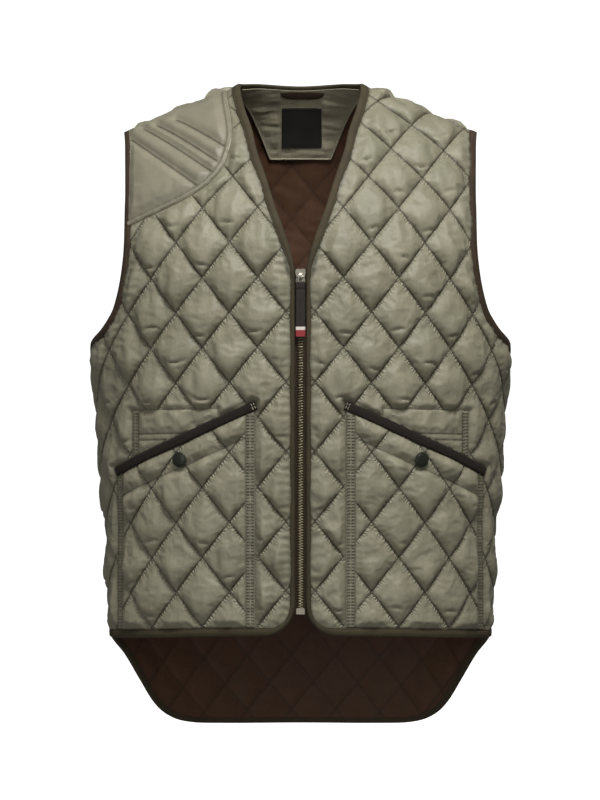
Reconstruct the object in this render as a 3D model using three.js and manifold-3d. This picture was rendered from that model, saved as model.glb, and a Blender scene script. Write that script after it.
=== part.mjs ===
// Quilted vest, filled out as it is worn, in millimetres.
// +Z is up, the front faces -Y, and +X is the wearer's left.
// The origin is on the centre plane, at the height of the shoulder neck points.

import * as THREE from 'three';
import { mergeVertices } from 'three/addons/utils/BufferGeometryUtils.js';
import Module from 'manifold-3d';

const wasm = await Module();
wasm.setup();

// Driving dimensions of the cloth.
const gap = 0.3;
const wall = 2;
const puffHeight = 4;
const quilt = { width: 61, height: 75.2, frontStart: 15.6, backStart: 0 };
const binding = { below: -1, above: 3.4, round: 0.8, neck: 9, front: 5.5, hem: 9.5, armhole: 8, tail: 6.5 };

// Levels of the landmarks, measured down from the shoulder neck points.
const level = { rise: -146, chest: -218, hem: -610 };
const seamStart = 152;

// Half girth and depths of the figure at each level, to the inner face of the wall.
const girth = [
  { level: -740, halfWidth: 208, front: 118, back: 114 },
  { level: -612, halfWidth: 210.5, front: 122, back: 112 },
  { level: -534, halfWidth: 213.3, front: 126, back: 107 },
  { level: -489, halfWidth: 214.5, front: 129, back: 105 },
  { level: -444, halfWidth: 220, front: 132, back: 106 },
  { level: -355, halfWidth: 225, front: 137, back: 112 },
  { level: -299, halfWidth: 232, front: 139, back: 117 },
  { level: -200, halfWidth: 229, front: 139, back: 120 },
  { level: -100, halfWidth: 222, front: 138, back: 120 },
  { level: 60, halfWidth: 212, front: 138, back: 120 },
];

// Height of the shoulder ridge at each distance from the centre plane.
const ridge = [
  { x: 0, z: 30 },
  { x: 9, z: 29.6 },
  { x: 24, z: 26 },
  { x: 42, z: 16 },
  { x: 66, z: -2.5 },
  { x: 85, z: -12.5 },
  { x: 106, z: -22.5 },
  { x: 139, z: -34.5 },
  { x: 165, z: -45.5 },
  { x: 194, z: -57 },
  { x: 240, z: -74 },
];

// Value of a column at a place in a table, on a smooth curve that keeps between its rows.
function lookUp(table, key, column, place) {
  const first = table[0];
  const last = table[table.length - 1];
  if (place <= first[key]) return first[column];
  if (place >= last[key]) return last[column];
  let row = 0;
  while (table[row + 1][key] < place) row += 1;
  const slopeOf = (at) => {
    const run = table[at + 1][key] - table[at][key];
    return (table[at + 1][column] - table[at][column]) / run;
  };
  const tangentOf = (at) => {
    if (at === 0) return slopeOf(0);
    if (at === table.length - 1) return slopeOf(at - 1);
    const before = slopeOf(at - 1);
    const after = slopeOf(at);
    return before * after <= 0 ? 0 : (2 * before * after) / (before + after);
  };
  const span = table[row + 1][key] - table[row][key];
  const t = (place - table[row][key]) / span;
  const t2 = t * t;
  const t3 = t2 * t;
  return (2 * t3 - 3 * t2 + 1) * table[row][column]
    + (t3 - 2 * t2 + t) * span * tangentOf(row)
    + (3 * t2 - 2 * t3) * table[row + 1][column]
    + (t3 - t2) * span * tangentOf(row + 1);
}

const clamp = (value, low, high) => Math.min(high, Math.max(low, value));
const mix = (a, b, t) => a + (b - a) * t;

function smoothStep(value) {
  const t = clamp(value, 0, 1);
  return t * t * (3 - 2 * t);
}

// How far the cloth hangs lower at the sides than at the centre, at a level.
function sideDrop(z) {
  return 9.5 * clamp((-200 - z) / 412, 0, 1.1);
}

// One half of the figure, front or back. The cloth lies on it by two lengths measured along it:
// u sideways from the centre plane and v up from the underarm row of the quilting.
class Half {
  constructor({ facing, depth, roundness, lean }) {
    this.facing = facing;
    this.depth = depth;
    this.roundness = roundness;
    this.lean = lean;
    this.guide = 100;
    this.arcs = 40;
  }

  // Share of the full depth that is left at a height, under a ridge of a given height.
  closure(z, top) {
    const rise = clamp((z - level.chest) / (top - level.chest), 0, 1);
    return Math.pow(1 - Math.pow(rise, this.roundness), 1 / this.roundness);
  }

  // Points and running length of the curve from the rise level up to the ridge, at one place x.
  column(x) {
    const top = lookUp(ridge, 'x', 'z', Math.abs(x));
    const power = this.roundness;
    const start = Math.asin(Math.pow((level.rise - level.chest) / (top - level.chest), power / 2));
    const points = [];
    let length = 0;
    for (let i = 0; i <= this.arcs; i += 1) {
      const turn = mix(start, Math.PI / 2, i / this.arcs);
      const z = level.chest + (top - level.chest) * Math.pow(Math.sin(turn), 2 / power);
      const width = lookUp(girth, 'level', 'halfWidth', z);
      const deep = lookUp(girth, 'level', this.depth, z);
      const across = Math.sqrt(Math.max(0, 1 - (x / width) ** 2));
      const y = deep * Math.pow(Math.max(0, Math.cos(turn)), 2 / power) * across;
      if (i > 0) length += Math.hypot(y - points[i - 1].y, z - points[i - 1].z);
      points.push({ y, z, length });
    }
    return points;
  }

  // Place on a column at a running length. Past the ridge the curve is mirrored over it.
  along(points, length) {
    const total = points[points.length - 1].length;
    const over = length > total;
    const wanted = over ? 2 * total - length : length;
    let i = 1;
    while (i < points.length - 1 && points[i].length < wanted) i += 1;
    const t = (wanted - points[i - 1].length) / (points[i].length - points[i - 1].length);
    const y = mix(points[i - 1].y, points[i].y, t);
    return { y: over ? -y : y, z: mix(points[i - 1].z, points[i].z, t) };
  }

  // Level of the section that sets the sideways lengths at v.
  sectionLevel(v) {
    if (v <= seamStart) return v - seamStart + level.rise;
    this.guideColumn ??= this.column(this.guide);
    const total = this.guideColumn[this.arcs].length;
    return this.along(this.guideColumn, Math.min(v - seamStart, total)).z;
  }

  // Angles and running lengths round the section at v.
  section(v) {
    const z = this.sectionLevel(v);
    const width = lookUp(girth, 'level', 'halfWidth', z);
    const top = lookUp(ridge, 'x', 'z', this.guide);
    const deep = Math.max(8, lookUp(girth, 'level', this.depth, z) * this.closure(z, top));
    const steps = [{ angle: 0, length: 0 }];
    const step = Math.PI / 60;
    for (let i = 1; i <= 36; i += 1) {
      const middle = (i - 0.5) * step;
      const ds = Math.hypot(width * Math.cos(middle), deep * Math.sin(middle)) * step;
      steps.push({ angle: i * step, length: steps[i - 1].length + ds });
    }
    return { width, steps };
  }

  // Quarter of the way round at v, where the side seam runs.
  sideLength(v) {
    return this.section(v).steps[30].length;
  }

  leanAt(v) {
    return this.lean * Math.pow(clamp((v - seamStart) / 113, 0, 2), 1.4);
  }

  // Point of the inner face at u and v.
  point(u, v) {
    const side = Math.sign(u) || 1;
    const { width, steps } = this.section(v);
    const reach = Math.max(0, Math.abs(u) - this.leanAt(v));
    let i = 1;
    while (i < steps.length - 1 && steps[i].length < reach) i += 1;
    const t = (reach - steps[i - 1].length) / (steps[i].length - steps[i - 1].length);
    const angle = mix(steps[i - 1].angle, steps[i].angle, t);
    const x = width * Math.sin(angle);
    let y;
    let z;
    if (v <= seamStart) {
      z = v - seamStart + level.rise;
      const top = lookUp(ridge, 'x', 'z', x);
      y = lookUp(girth, 'level', this.depth, z) * this.closure(z, top) * Math.cos(angle);
    } else {
      ({ y, z } = this.along(this.column(x), v - seamStart));
    }
    return new THREE.Vector3(side * x, this.facing * y, z - sideDrop(z) * (x / 212) ** 2);
  }

  // Point at a height w off the inner face, outward positive.
  place(u, v, w) {
    const d = 0.5;
    const alongU = this.point(u + d, v).sub(this.point(u - d, v));
    const alongV = this.point(u, v + d).sub(this.point(u, v - d));
    const normal = alongU.cross(alongV).normalize().multiplyScalar(-this.facing);
    return this.point(u, v).addScaledVector(normal, w);
  }

  // The u and v of a point given by its x and z.
  locate(x, z) {
    const drop = sideDrop(z) * (x / 212) ** 2;
    const height = z + drop;
    let v = height - level.rise + seamStart;
    if (height > level.rise) {
      const points = this.column(x);
      let i = 1;
      while (i < points.length - 1 && points[i].z < height) i += 1;
      const t = clamp((height - points[i - 1].z) / (points[i].z - points[i - 1].z), 0, 1);
      v = seamStart + mix(points[i - 1].length, points[i].length, t);
    }
    const { width, steps } = this.section(v);
    const angle = Math.asin(clamp(Math.abs(x) / width, 0, 1));
    const place = angle / (Math.PI / 60);
    const i = Math.min(steps.length - 2, Math.floor(place));
    const u = mix(steps[i].length, steps[i + 1].length, place - i);
    return { u: u + this.leanAt(v), v };
  }

  // Running length at which the shoulder ridge lies, at one place x.
  ridgeAt(x) {
    return this.locate(x, 1000);
  }
}

const front = new Half({ facing: -1, depth: 'front', roundness: 1.6, lean: 15 });
const back = new Half({ facing: 1, depth: 'back', roundness: 2, lean: 0 });

// Finishes, by what a piece is made of.
const finishes = {
  shell: { color: 0x8f8a76, roughness: 0.55, metalness: 0 },
  lining: { color: 0x4a3524, roughness: 0.6, metalness: 0 },
  facing: { color: 0x66614f, roughness: 0.55, metalness: 0 },
  tape: { color: 0x5a4f3d, roughness: 0.75, metalness: 0 },
  braid: { color: 0x35291f, roughness: 0.85, metalness: 0 },
  label: { color: 0x1c1917, roughness: 0.7, metalness: 0 },
  metal: { color: 0xb4b0a4, roughness: 0.3, metalness: 0.9 },
  cap: { color: 0x2a2c24, roughness: 0.4, metalness: 0.3 },
  tab: { color: 0x241a16, roughness: 0.7, metalness: 0 },
};

const garment = new THREE.Group();

function addPiece(name, geometry, finish) {
  const piece = new THREE.Mesh(geometry, new THREE.MeshStandardMaterial(finishes[finish]));
  piece.name = name;
  garment.add(piece);
}

// Closed geometry from corner points and triangles, with its faces pointing out.
function closedGeometry(corners, triangles) {
  let volume = 0;
  const [a, b, c] = [new THREE.Vector3(), new THREE.Vector3(), new THREE.Vector3()];
  for (let i = 0; i < triangles.length; i += 3) {
    a.fromArray(corners, 3 * triangles[i]);
    b.fromArray(corners, 3 * triangles[i + 1]);
    c.fromArray(corners, 3 * triangles[i + 2]);
    volume += a.dot(b.cross(c));
  }
  const index = Array.from(triangles);
  if (volume < 0) index.reverse();
  const geometry = new THREE.BufferGeometry();
  geometry.setAttribute('position', new THREE.Float32BufferAttribute(corners, 3));
  geometry.setIndex(index);
  return geometry;
}

function solidOf(geometry) {
  const bare = geometry.clone();
  bare.deleteAttribute('normal');
  bare.deleteAttribute('uv');
  const merged = mergeVertices(bare, 1e-5);
  return new wasm.Manifold(new wasm.Mesh({
    numProp: 3,
    vertProperties: new Float32Array(merged.attributes.position.array),
    triVerts: new Uint32Array(merged.index.array),
  }));
}

function geometryOf(solid) {
  const mesh = solid.getMesh();
  return closedGeometry(Array.from(mesh.vertProperties), Array.from(mesh.triVerts));
}

// The same piece on the other side of the centre plane.
function mirrored(geometry) {
  const corners = Array.from(geometry.attributes.position.array);
  for (let i = 0; i < corners.length; i += 3) corners[i] *= -1;
  return closedGeometry(corners, Array.from(geometry.index.array));
}

// Upright prism over a flat outline of u and v, between two heights w.
function prism(outline, low = -20, high = 40) {
  const shape = new THREE.Shape(outline.map(({ u, v }) => new THREE.Vector2(u, v)));
  const block = new THREE.ExtrudeGeometry(shape, { depth: high - low, bevelEnabled: false });
  return solidOf(block.translate(0, 0, low));
}

// Net of cells that the flat cloth is faceted on. Each cell is split along the nearest stitched line.
class Net {
  constructor({ start, row, cellU, cellV, run = 2, turn = 0 }) {
    Object.assign(this, { start, row, cellU, cellV, run, turn });
  }

  corner(i, j) {
    const a = this.start + i * this.cellU;
    const b = this.row + j * this.cellV;
    const c = Math.cos(this.turn);
    const s = Math.sin(this.turn);
    return { u: a * c - b * s, v: a * s + b * c };
  }

  risesAt(i, j) {
    return (Math.floor(i / this.run) + Math.floor(j / this.run)) % 2 === 0;
  }

  // Lowest and highest cell numbers that cover an outline.
  reach(outline) {
    const c = Math.cos(this.turn);
    const s = Math.sin(this.turn);
    const is = outline.map(({ u, v }) => (u * c + v * s - this.start) / this.cellU);
    const js = outline.map(({ u, v }) => (-u * s + v * c - this.row) / this.cellV);
    const low = (list) => Math.floor(Math.min(...list)) - 1;
    const high = (list) => Math.ceil(Math.max(...list)) + 1;
    return { i0: low(is), i1: high(is), j0: low(js), j1: high(js) };
  }

  // Block between a flat plane and a faceted sheet whose height is given at each corner.
  block(outline, heightAt, plane) {
    const { i0, i1, j0, j1 } = this.reach(outline);
    const across = i1 - i0 + 1;
    const count = across * (j1 - j0 + 1);
    const corners = [];
    for (const sheet of [0, 1]) {
      for (let j = j0; j <= j1; j += 1) {
        for (let i = i0; i <= i1; i += 1) {
          const { u, v } = this.corner(i, j);
          corners.push(u, v, sheet === 0 ? plane : heightAt(i, j, u, v));
        }
      }
    }
    const triangles = [];
    const at = (i, j) => (j - j0) * across + (i - i0);
    for (let j = j0; j < j1; j += 1) {
      for (let i = i0; i < i1; i += 1) {
        const quad = [at(i, j), at(i + 1, j), at(i + 1, j + 1), at(i, j + 1)];
        const [a, b, c, d] = this.risesAt(i, j) ? quad : [quad[1], quad[2], quad[3], quad[0]];
        triangles.push(a, c, b, a, d, c);
        triangles.push(a + count, b + count, c + count, a + count, c + count, d + count);
      }
    }
    const skirt = (p, q) => triangles.push(p, q, q + count, p, q + count, p + count);
    for (let i = i0; i < i1; i += 1) {
      skirt(at(i, j0), at(i + 1, j0));
      skirt(at(i + 1, j1), at(i, j1));
    }
    for (let j = j0; j < j1; j += 1) {
      skirt(at(i1, j), at(i1, j + 1));
      skirt(at(i0, j + 1), at(i0, j));
    }
    return solidOf(closedGeometry(corners, triangles));
  }
}

// A tiny tilt of each facet, which keeps flat faces in their cells while they are cut.
const tilt = 0.04;
const tiltAt = (i, j) => tilt * ((((i * 7 + j * 13) % 5) + 5) % 5 / 2 - 1);

// Quilting nets: fine on the raised face and coarse on the plain one.
function quiltNet(start, share) {
  return new Net({
    start,
    row: -quilt.height / 2,
    cellU: quilt.width / share,
    cellV: quilt.height / share,
    run: share / 2,
  });
}

const frontNet = quiltNet(quilt.frontStart, 4);
const frontPlainNet = quiltNet(quilt.frontStart, 2);
const backNet = quiltNet(quilt.backStart, 4);
const backPlainNet = quiltNet(quilt.backStart, 2);

// Share of the full puff at a corner of the fine net: none on the stitched lines.
function puffShare(i, j) {
  const falling = (((i - j) % 4) + 4) % 4;
  const rising = (((i + j) % 4) + 4) % 4;
  if (falling === 0 || rising === 0) return 0;
  return falling === 2 && rising === 2 ? 1 : 0.7;
}

// Distance from a point to a path.
function distanceTo(path, u, v) {
  let nearest = Infinity;
  for (let k = 1; k < path.length; k += 1) {
    const du = path[k].u - path[k - 1].u;
    const dv = path[k].v - path[k - 1].v;
    const t = clamp(((u - path[k - 1].u) * du + (v - path[k - 1].v) * dv) / (du * du + dv * dv), 0, 1);
    nearest = Math.min(nearest, Math.hypot(path[k - 1].u + t * du - u, path[k - 1].v + t * dv - v));
  }
  return nearest;
}

// Cloth laid on a half: each corner of the flat solid goes to its place, and a height that is
// only tilted returns to its level.
function drape(half, flat, levels = []) {
  const mesh = flat.getMesh();
  const corners = [];
  for (let i = 0; i < mesh.vertProperties.length; i += 3) {
    const [u, v, w] = mesh.vertProperties.slice(i, i + 3);
    const settled = levels.find((height) => Math.abs(height - w) < 1.2 * tilt) ?? w;
    corners.push(...half.place(u, v, settled).toArray());
  }
  return closedGeometry(corners, Array.from(mesh.triVerts));
}

const directionOf = (from, to) => new THREE.Vector2(to.u - from.u, to.v - from.v).normalize();

// Path with its direction and inward side at each point. An end that meets a seam is given the
// direction of that seam as its side.
function directed(path, inward, startSide, endSide) {
  const last = path.length - 1;
  return path.map((point, k) => {
    const before = path[Math.max(0, k - 1)];
    const after = path[Math.min(last, k + 1)];
    let along = directionOf(before, after);
    let stretch = 1;
    if (k > 0 && k < last) {
      along = directionOf(before, point).add(directionOf(point, after)).normalize();
      stretch = 1 / Math.max(0.7, along.dot(directionOf(before, point)));
    }
    let side = new THREE.Vector2(-along.y, along.x).multiplyScalar(inward);
    const seam = k === 0 ? startSide : endSide;
    if (seam && (k === 0 || k === last)) {
      stretch = 1 / Math.max(0.7, side.dot(seam));
      side = seam.clone();
    }
    return { ...point, along, side, stretch };
  });
}

const offsetBy = (point, distance) => ({
  u: point.u + point.side.x * point.stretch * distance,
  v: point.v + point.side.y * point.stretch * distance,
});

// Flat prism of the strip along a path, from outside the edge to a width inside it. It may be
// wider by a little ease at its two ends, where the cloth turns over a seam.
function strip(points, width, clear = gap, ease = 0) {
  const first = points[0];
  const last = points[points.length - 1];
  const overrun = 4;
  const pushed = (point, sign) => ({
    ...point,
    u: point.u + sign * overrun * point.along.x,
    v: point.v + sign * overrun * point.along.y,
  });
  const run = [pushed(first, -1), ...points, pushed(last, 1)];
  const widthAt = (k) => (typeof width === 'number' ? width : width(clamp(k - 1, 0, points.length - 1)));
  const outer = run.map((point) => offsetBy(point, -overrun));
  const easeAt = (k) => (k < 2 || k > run.length - 3 ? ease : 0);
  const inner = run.map((point, k) => offsetBy(point, widthAt(k) + clear + easeAt(k)));
  return prism([...outer, ...inner.reverse()]);
}

// Sections of a bound edge: a folded tape that runs from the edge to its width inside.
function boundSections(half, points, widthAt, belowAt) {
  return points.map((point, k) => {
    const width = widthAt(k);
    const below = belowAt(k);
    const profile = [
      [0.2, below + 0.6],
      [0.9, below],
      [width, below],
      [width, binding.above - binding.round],
      [width - binding.round, binding.above],
      [1, binding.above],
      [0, binding.above - 1.2],
    ];
    return profile.map(([n, w]) => {
      const { u, v } = offsetBy(point, n);
      return half.place(u, v, w);
    });
  });
}

const mirrorSections = (sections) => sections.map((section) => (
  section.map((point) => new THREE.Vector3(-point.x, point.y, point.z))
));

// Solid through a row of sections with equal numbers of corners.
function sweep(sections, ring = false) {
  const sides = sections[0].length;
  const corners = sections.flat().flatMap((point) => point.toArray());
  const triangles = [];
  const last = ring ? sections.length : sections.length - 1;
  for (let k = 0; k < last; k += 1) {
    const next = ((k + 1) % sections.length) * sides;
    for (let s = 0; s < sides; s += 1) {
      const t = (s + 1) % sides;
      triangles.push(k * sides + s, k * sides + t, next + t);
      triangles.push(k * sides + s, next + t, next + s);
    }
  }
  if (!ring) {
    const end = (sections.length - 1) * sides;
    for (let s = 1; s < sides - 1; s += 1) {
      triangles.push(0, s + 1, s);
      triangles.push(end, end + s, end + s + 1);
    }
  }
  return closedGeometry(corners, triangles);
}

// Flat pattern of the front, one half: u of the neckline and of the armhole at each v.
const neckline = [
  { v: 82.7, u: 6 },
  { v: 104, u: 10.7 },
  { v: 126, u: 17.7 },
  { v: 147, u: 25.3 },
  { v: 170, u: 33.4 },
  { v: 194, u: 43.1 },
  { v: 220, u: 54.5 },
  { v: 247, u: 64 },
  { v: 278, u: 77.6 },
  { v: 317, u: 91.5 },
];
const frontArmhole = [
  { v: 12, u: 277 },
  { v: 22, u: 249 },
  { v: 33, u: 233.6 },
  { v: 43, u: 224.5 },
  { v: 64, u: 215.5 },
  { v: 86, u: 210.2 },
  { v: 107, u: 207 },
  { v: 135, u: 205.4 },
  { v: 164, u: 204.4 },
  { v: 190, u: 206 },
  { v: 214, u: 208.4 },
  { v: 238, u: 211.4 },
];

// Flat pattern of the back, one half: the armhole and the edge of the long tail.
const backArmhole = [
  { v: 12, u: 264 },
  { v: 22, u: 244 },
  { v: 37, u: 227 },
  { v: 69, u: 209 },
  { v: 108, u: 200 },
  { v: 135, u: 198.5 },
  { v: 160, u: 198 },
  { v: 188, u: 198.5 },
  { v: 212, u: 199.5 },
  { v: 238, u: 200.6 },
];
const tailEdge = [
  { u: 243, v: -317.8 },
  { u: 223.7, v: -331 },
  { u: 211.9, v: -343.3 },
  { u: 194.2, v: -368 },
  { u: 177.4, v: -393 },
  { u: 166, v: -405.7 },
  { u: 155, v: -413.8 },
  { u: 142.5, v: -419.7 },
  { u: 122.9, v: -424.5 },
  { u: 92, v: -427.5 },
  { u: 62, v: -429.2 },
  { u: 31, v: -430 },
  { u: 0, v: -430.2 },
];

const neckX = 66.3;
const backNeckV = 312;
const shoulderX = 197;
const underarmV = 5;
const hemV = level.hem - level.rise + seamStart;
const tailStartV = -308;
const seamAllowance = gap;
const cornerRadius = 34;

const up = new THREE.Vector2(0, 1);
const down = new THREE.Vector2(0, -1);
const outboard = new THREE.Vector2(1, 0);

const reversed = (path) => [...path].reverse();
const otherSide = (path) => path.map(({ u, v }) => ({ u: -u, v }));
const turnedOver = (vector) => new THREE.Vector2(-vector.x, vector.y);

// Points of a straight run, without its last one.
function steppedRun(from, to, step) {
  const count = Math.max(1, Math.round(Math.hypot(to.u - from.u, to.v - from.v) / step));
  return Array.from({ length: count }, (_, k) => ({
    u: mix(from.u, to.u, k / count),
    v: mix(from.v, to.v, k / count),
  }));
}

// Side seam of a half, from the underarm down to a lower end.
function sideSeam(half, lowEnd) {
  return Array.from({ length: 17 }, (_, k) => {
    const v = mix(underarmV, lowEnd, k / 16);
    return { u: half.sideLength(v) - seamAllowance, v };
  });
}

// Shoulder seam of a half, from the neck point out to the shoulder point.
function shoulderSeam(half, short = seamAllowance) {
  return Array.from({ length: 12 }, (_, k) => {
    const { u, v } = half.ridgeAt(mix(neckX, shoulderX, k / 11));
    return { u, v: v - short };
  });
}

// Direction of the shoulder seam at one place x, towards another.
const seamDirection = (half, x, towards) => directionOf(half.ridgeAt(x), half.ridgeAt(towards));

function neckPath() {
  const top = front.ridgeAt(neckX);
  const rows = [...neckline, top];
  const path = [];
  for (let v = neckline[0].v; v < top.v - 4; v += v < 290 ? 20.73 : 7) {
    path.push({ u: lookUp(rows, 'v', 'u', v), v });
  }
  return directed([...path, top], -1, outboard, seamDirection(front, neckX, neckX + 6));
}

function frontEdgePath() {
  const top = { u: neckline[0].u, v: neckline[0].v - gap };
  const corner = { u: top.u + cornerRadius, v: hemV + cornerRadius };
  const turns = [0, 1, 2, 3, 4, 5].map((k) => Math.PI + (k * Math.PI) / 10);
  const arc = turns.map((turn) => ({
    u: corner.u + cornerRadius * Math.cos(turn),
    v: corner.v + cornerRadius * Math.sin(turn),
  }));
  const end = { u: front.sideLength(hemV) - seamAllowance, v: hemV };
  const path = [...steppedRun(top, arc[0], 38), ...arc, ...steppedRun(arc[5], end, 19).slice(1), end];
  return directed(path, 1, outboard, up);
}

function armholePath(half, rows) {
  const path = [{ u: half.sideLength(underarmV), v: underarmV }, ...rows, half.ridgeAt(shoulderX)];
  return directed(path, 1, down, seamDirection(half, shoulderX, shoulderX - 6));
}

function backNeckPath() {
  const end = back.ridgeAt(neckX);
  const path = Array.from({ length: 19 }, (_, k) => {
    const turn = Math.PI / 2 - (k * Math.PI) / 18;
    return { u: neckX * Math.sin(turn), v: mix(end.v, backNeckV, Math.cos(turn)) };
  });
  const seam = seamDirection(back, neckX, neckX + 6);
  return directed(path, 1, seam, turnedOver(seam));
}

function tailPath() {
  const half = [{ u: back.sideLength(tailStartV) - seamAllowance, v: tailStartV }, ...tailEdge];
  const path = [...half, ...otherSide(reversed(half.slice(0, -1)))];
  return directed(path, -1);
}

const paths = {
  neck: neckPath(),
  frontEdge: frontEdgePath(),
  frontArmhole: armholePath(front, frontArmhole),
  backArmhole: armholePath(back, backArmhole),
  backNeck: backNeckPath(),
  tail: tailPath(),
};

// Width of the front binding: narrow beside the zip, and growing to its full width along the hem
// and up the neckline.
const growth = { hem: 30, neck: 40 };

function frontEdgeWidth(k) {
  const past = paths.frontEdge[k].u - paths.frontEdge[0].u;
  return mix(binding.front, binding.hem, smoothStep((past - 2) / growth.hem));
}

function neckWidth(k) {
  const past = paths.neck[k].v - paths.neck[0].v;
  return mix(binding.front, binding.neck, smoothStep(past / growth.neck));
}

const outlines = {
  front: [
    ...paths.neck.slice(0, -1).reverse(),
    ...paths.frontEdge,
    ...reversed(sideSeam(front, hemV)).slice(1),
    ...paths.frontArmhole.slice(1, -1),
    ...reversed(shoulderSeam(front)),
  ],
  back: [
    ...paths.backNeck.slice(1, -1),
    ...otherSide(shoulderSeam(back)),
    ...otherSide(reversed(paths.backArmhole.slice(1, -1))),
    ...otherSide(sideSeam(back, tailStartV)),
    ...reversed(paths.tail).slice(1, -1),
    ...reversed(sideSeam(back, tailStartV)),
    ...paths.backArmhole.slice(1, -1),
    ...reversed(shoulderSeam(back)),
  ],
};
const otherArmhole = paths.backArmhole.map((point) => ({
  ...point,
  u: -point.u,
  along: turnedOver(point.along),
  side: turnedOver(point.side),
}));

const frontCuts = [
  strip(paths.neck, neckWidth),
  strip(paths.frontEdge, frontEdgeWidth),
  strip(paths.frontArmhole, binding.armhole),
];
const sideCuts = (clear) => [
  strip(paths.backArmhole, binding.armhole, clear, 0.8),
  strip(otherArmhole, binding.armhole, clear, 0.8),
  strip(paths.tail, binding.tail, clear),
];
const backCuts = [...sideCuts(gap), strip(paths.backNeck, binding.neck, gap, 1.2)];

// Shoulder patch, on the wearer's right front: its free edge, and the places of its sewn channels
// measured across them.
const patch = {
  edge: [
    { u: 112, v: 340 },
    { u: 103, v: 304 },
    { u: 90, v: 262 },
    { u: 85.3, v: 240 },
    { u: 85.3, v: 222 },
    { u: 89, v: 202 },
    { u: 103, v: 180.3 },
    { u: 129.7, v: 161.3 },
    { u: 159, v: 147.9 },
    { u: 215, v: 127 },
    { u: 250, v: 127 },
    { u: 250, v: 340 },
  ],
  slant: THREE.MathUtils.degToRad(36.5),
  channels: [74.5, 96.6, 109.8, 128.3],
  cell: 16,
  base: 3.4,
  thickness: 1.2,
  puff: 2,
  plainRun: 24,
};
const patchFreeEdge = patch.edge.slice(0, 10);

// Height of a raised face at a corner of its fine net. The puffs are lower beside bound edges.
const puffRun = 16;

function raisedHeight(bound, i, j, u, v) {
  const room = Math.min(...bound.map((path) => distanceTo(path, u, v))) - binding.neck;
  return wall + puffHeight * mix(0.2, 1, smoothStep(room / puffRun)) * puffShare(i, j) + tiltAt(i, j);
}

// Height of the front's raised face. It is plain under the patch and for a run around it.
function frontHeight(i, j, u, v, underPatch = false) {
  if (underPatch && insidePatch(u, v, patch.plainRun)) return wall + tiltAt(i, j);
  return raisedHeight([paths.neck, paths.frontEdge, paths.frontArmhole], i, j, u, v);
}

// Whether a place lies inside the patch or within a margin of its free edge.
function insidePatch(u, v, margin) {
  const ring = patch.edge;
  let inside = false;
  for (let k = 0, m = ring.length - 1; k < ring.length; m = k, k += 1) {
    const crosses = (ring[k].v > v) !== (ring[m].v > v);
    const at = ((ring[m].u - ring[k].u) * (v - ring[k].v)) / (ring[m].v - ring[k].v) + ring[k].u;
    if (crosses && u < at) inside = !inside;
  }
  return inside || distanceTo(patchFreeEdge, u, v) < margin;
}

function cutAll(solid, cuts) {
  return cuts.reduce((left, cut) => left.subtract(cut), solid);
}

function frontPanel(underPatch) {
  const outline = outlines.front;
  const raised = frontNet.block(outline, (i, j, u, v) => frontHeight(i, j, u, v, underPatch), -20);
  const plain = frontPlainNet.block(outline, tiltAt, 40);
  return drape(front, cutAll(raised.intersect(plain).intersect(prism(outline)), frontCuts), [0, wall]);
}

function backPanel() {
  const outline = outlines.back;
  const bound = [paths.backNeck, paths.tail, paths.backArmhole, otherSide(paths.backArmhole)];
  const raised = backNet.block(outline, (i, j, u, v) => raisedHeight(bound, i, j, u, v), -20);
  const plain = backPlainNet.block(outline, tiltAt, 40);
  return drape(back, cutAll(raised.intersect(plain).intersect(prism(outline)), backCuts), [0, wall]);
}

// Places on the plain facets of the back's inner face, where the lining and what is sewn on it lie.
class InnerFace {
  constructor() {
    this.known = new Map();
  }

  corner(i, j) {
    const key = `${i},${j}`;
    if (!this.known.has(key)) {
      const { u, v } = backPlainNet.corner(i, j);
      const foot = back.place(u, v, 0);
      this.known.set(key, { foot, out: back.place(u, v, 1).sub(foot) });
    }
    return this.known.get(key);
  }

  place(u, v, w) {
    const a = (u - backPlainNet.start) / backPlainNet.cellU;
    const b = (v - backPlainNet.row) / backPlainNet.cellV;
    const i = Math.floor(a);
    const j = Math.floor(b);
    const s = a - i;
    const t = b - j;
    let shares;
    if (backPlainNet.risesAt(i, j)) {
      shares = s > t
        ? [[0, 0, 1 - s], [1, 0, s - t], [1, 1, t]]
        : [[0, 0, 1 - t], [0, 1, t - s], [1, 1, s]];
    } else {
      shares = s + t < 1
        ? [[0, 0, 1 - s - t], [1, 0, s], [0, 1, t]]
        : [[1, 1, s + t - 1], [1, 0, 1 - t], [0, 1, 1 - s]];
    }
    const point = new THREE.Vector3();
    for (const [di, dj, share] of shares) {
      const { foot, out } = this.corner(i + di, j + dj);
      point.addScaledVector(foot, share).addScaledVector(out, share * w);
    }
    return point;
  }
}

const innerFace = new InnerFace();

// Places for a small stiff piece on that face. It stays flat, and rests on its four corners.
class StiffFace {
  constructor([u0, u1, v0, v1], depth) {
    const [a, b, c, d] = rectangle(u0, u1, v0, v1).map(({ u, v }) => innerFace.place(u, v, depth));
    this.depth = depth;
    this.middle = { u: (u0 + u1) / 2, v: (v0 + v1) / 2 };
    this.centre = new THREE.Vector3().add(a).add(b).add(c).add(d).divideScalar(4);
    this.sideways = new THREE.Vector3().add(b).add(c).sub(a).sub(d).divideScalar(2 * (u1 - u0));
    this.upward = new THREE.Vector3().add(c).add(d).sub(a).sub(b).divideScalar(2 * (v1 - v0));
    this.out = new THREE.Vector3().crossVectors(this.upward, this.sideways).normalize();
  }

  place(u, v, w) {
    return this.centre.clone()
      .addScaledVector(this.sideways, u - this.middle.u)
      .addScaledVector(this.upward, v - this.middle.v)
      .addScaledVector(this.out, w - this.depth);
  }
}

// Flat plate on a stiff face, between two depths.
function plate(outline, face, deep, shallow) {
  return drape(face, prism(outline, deep, shallow));
}

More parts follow.
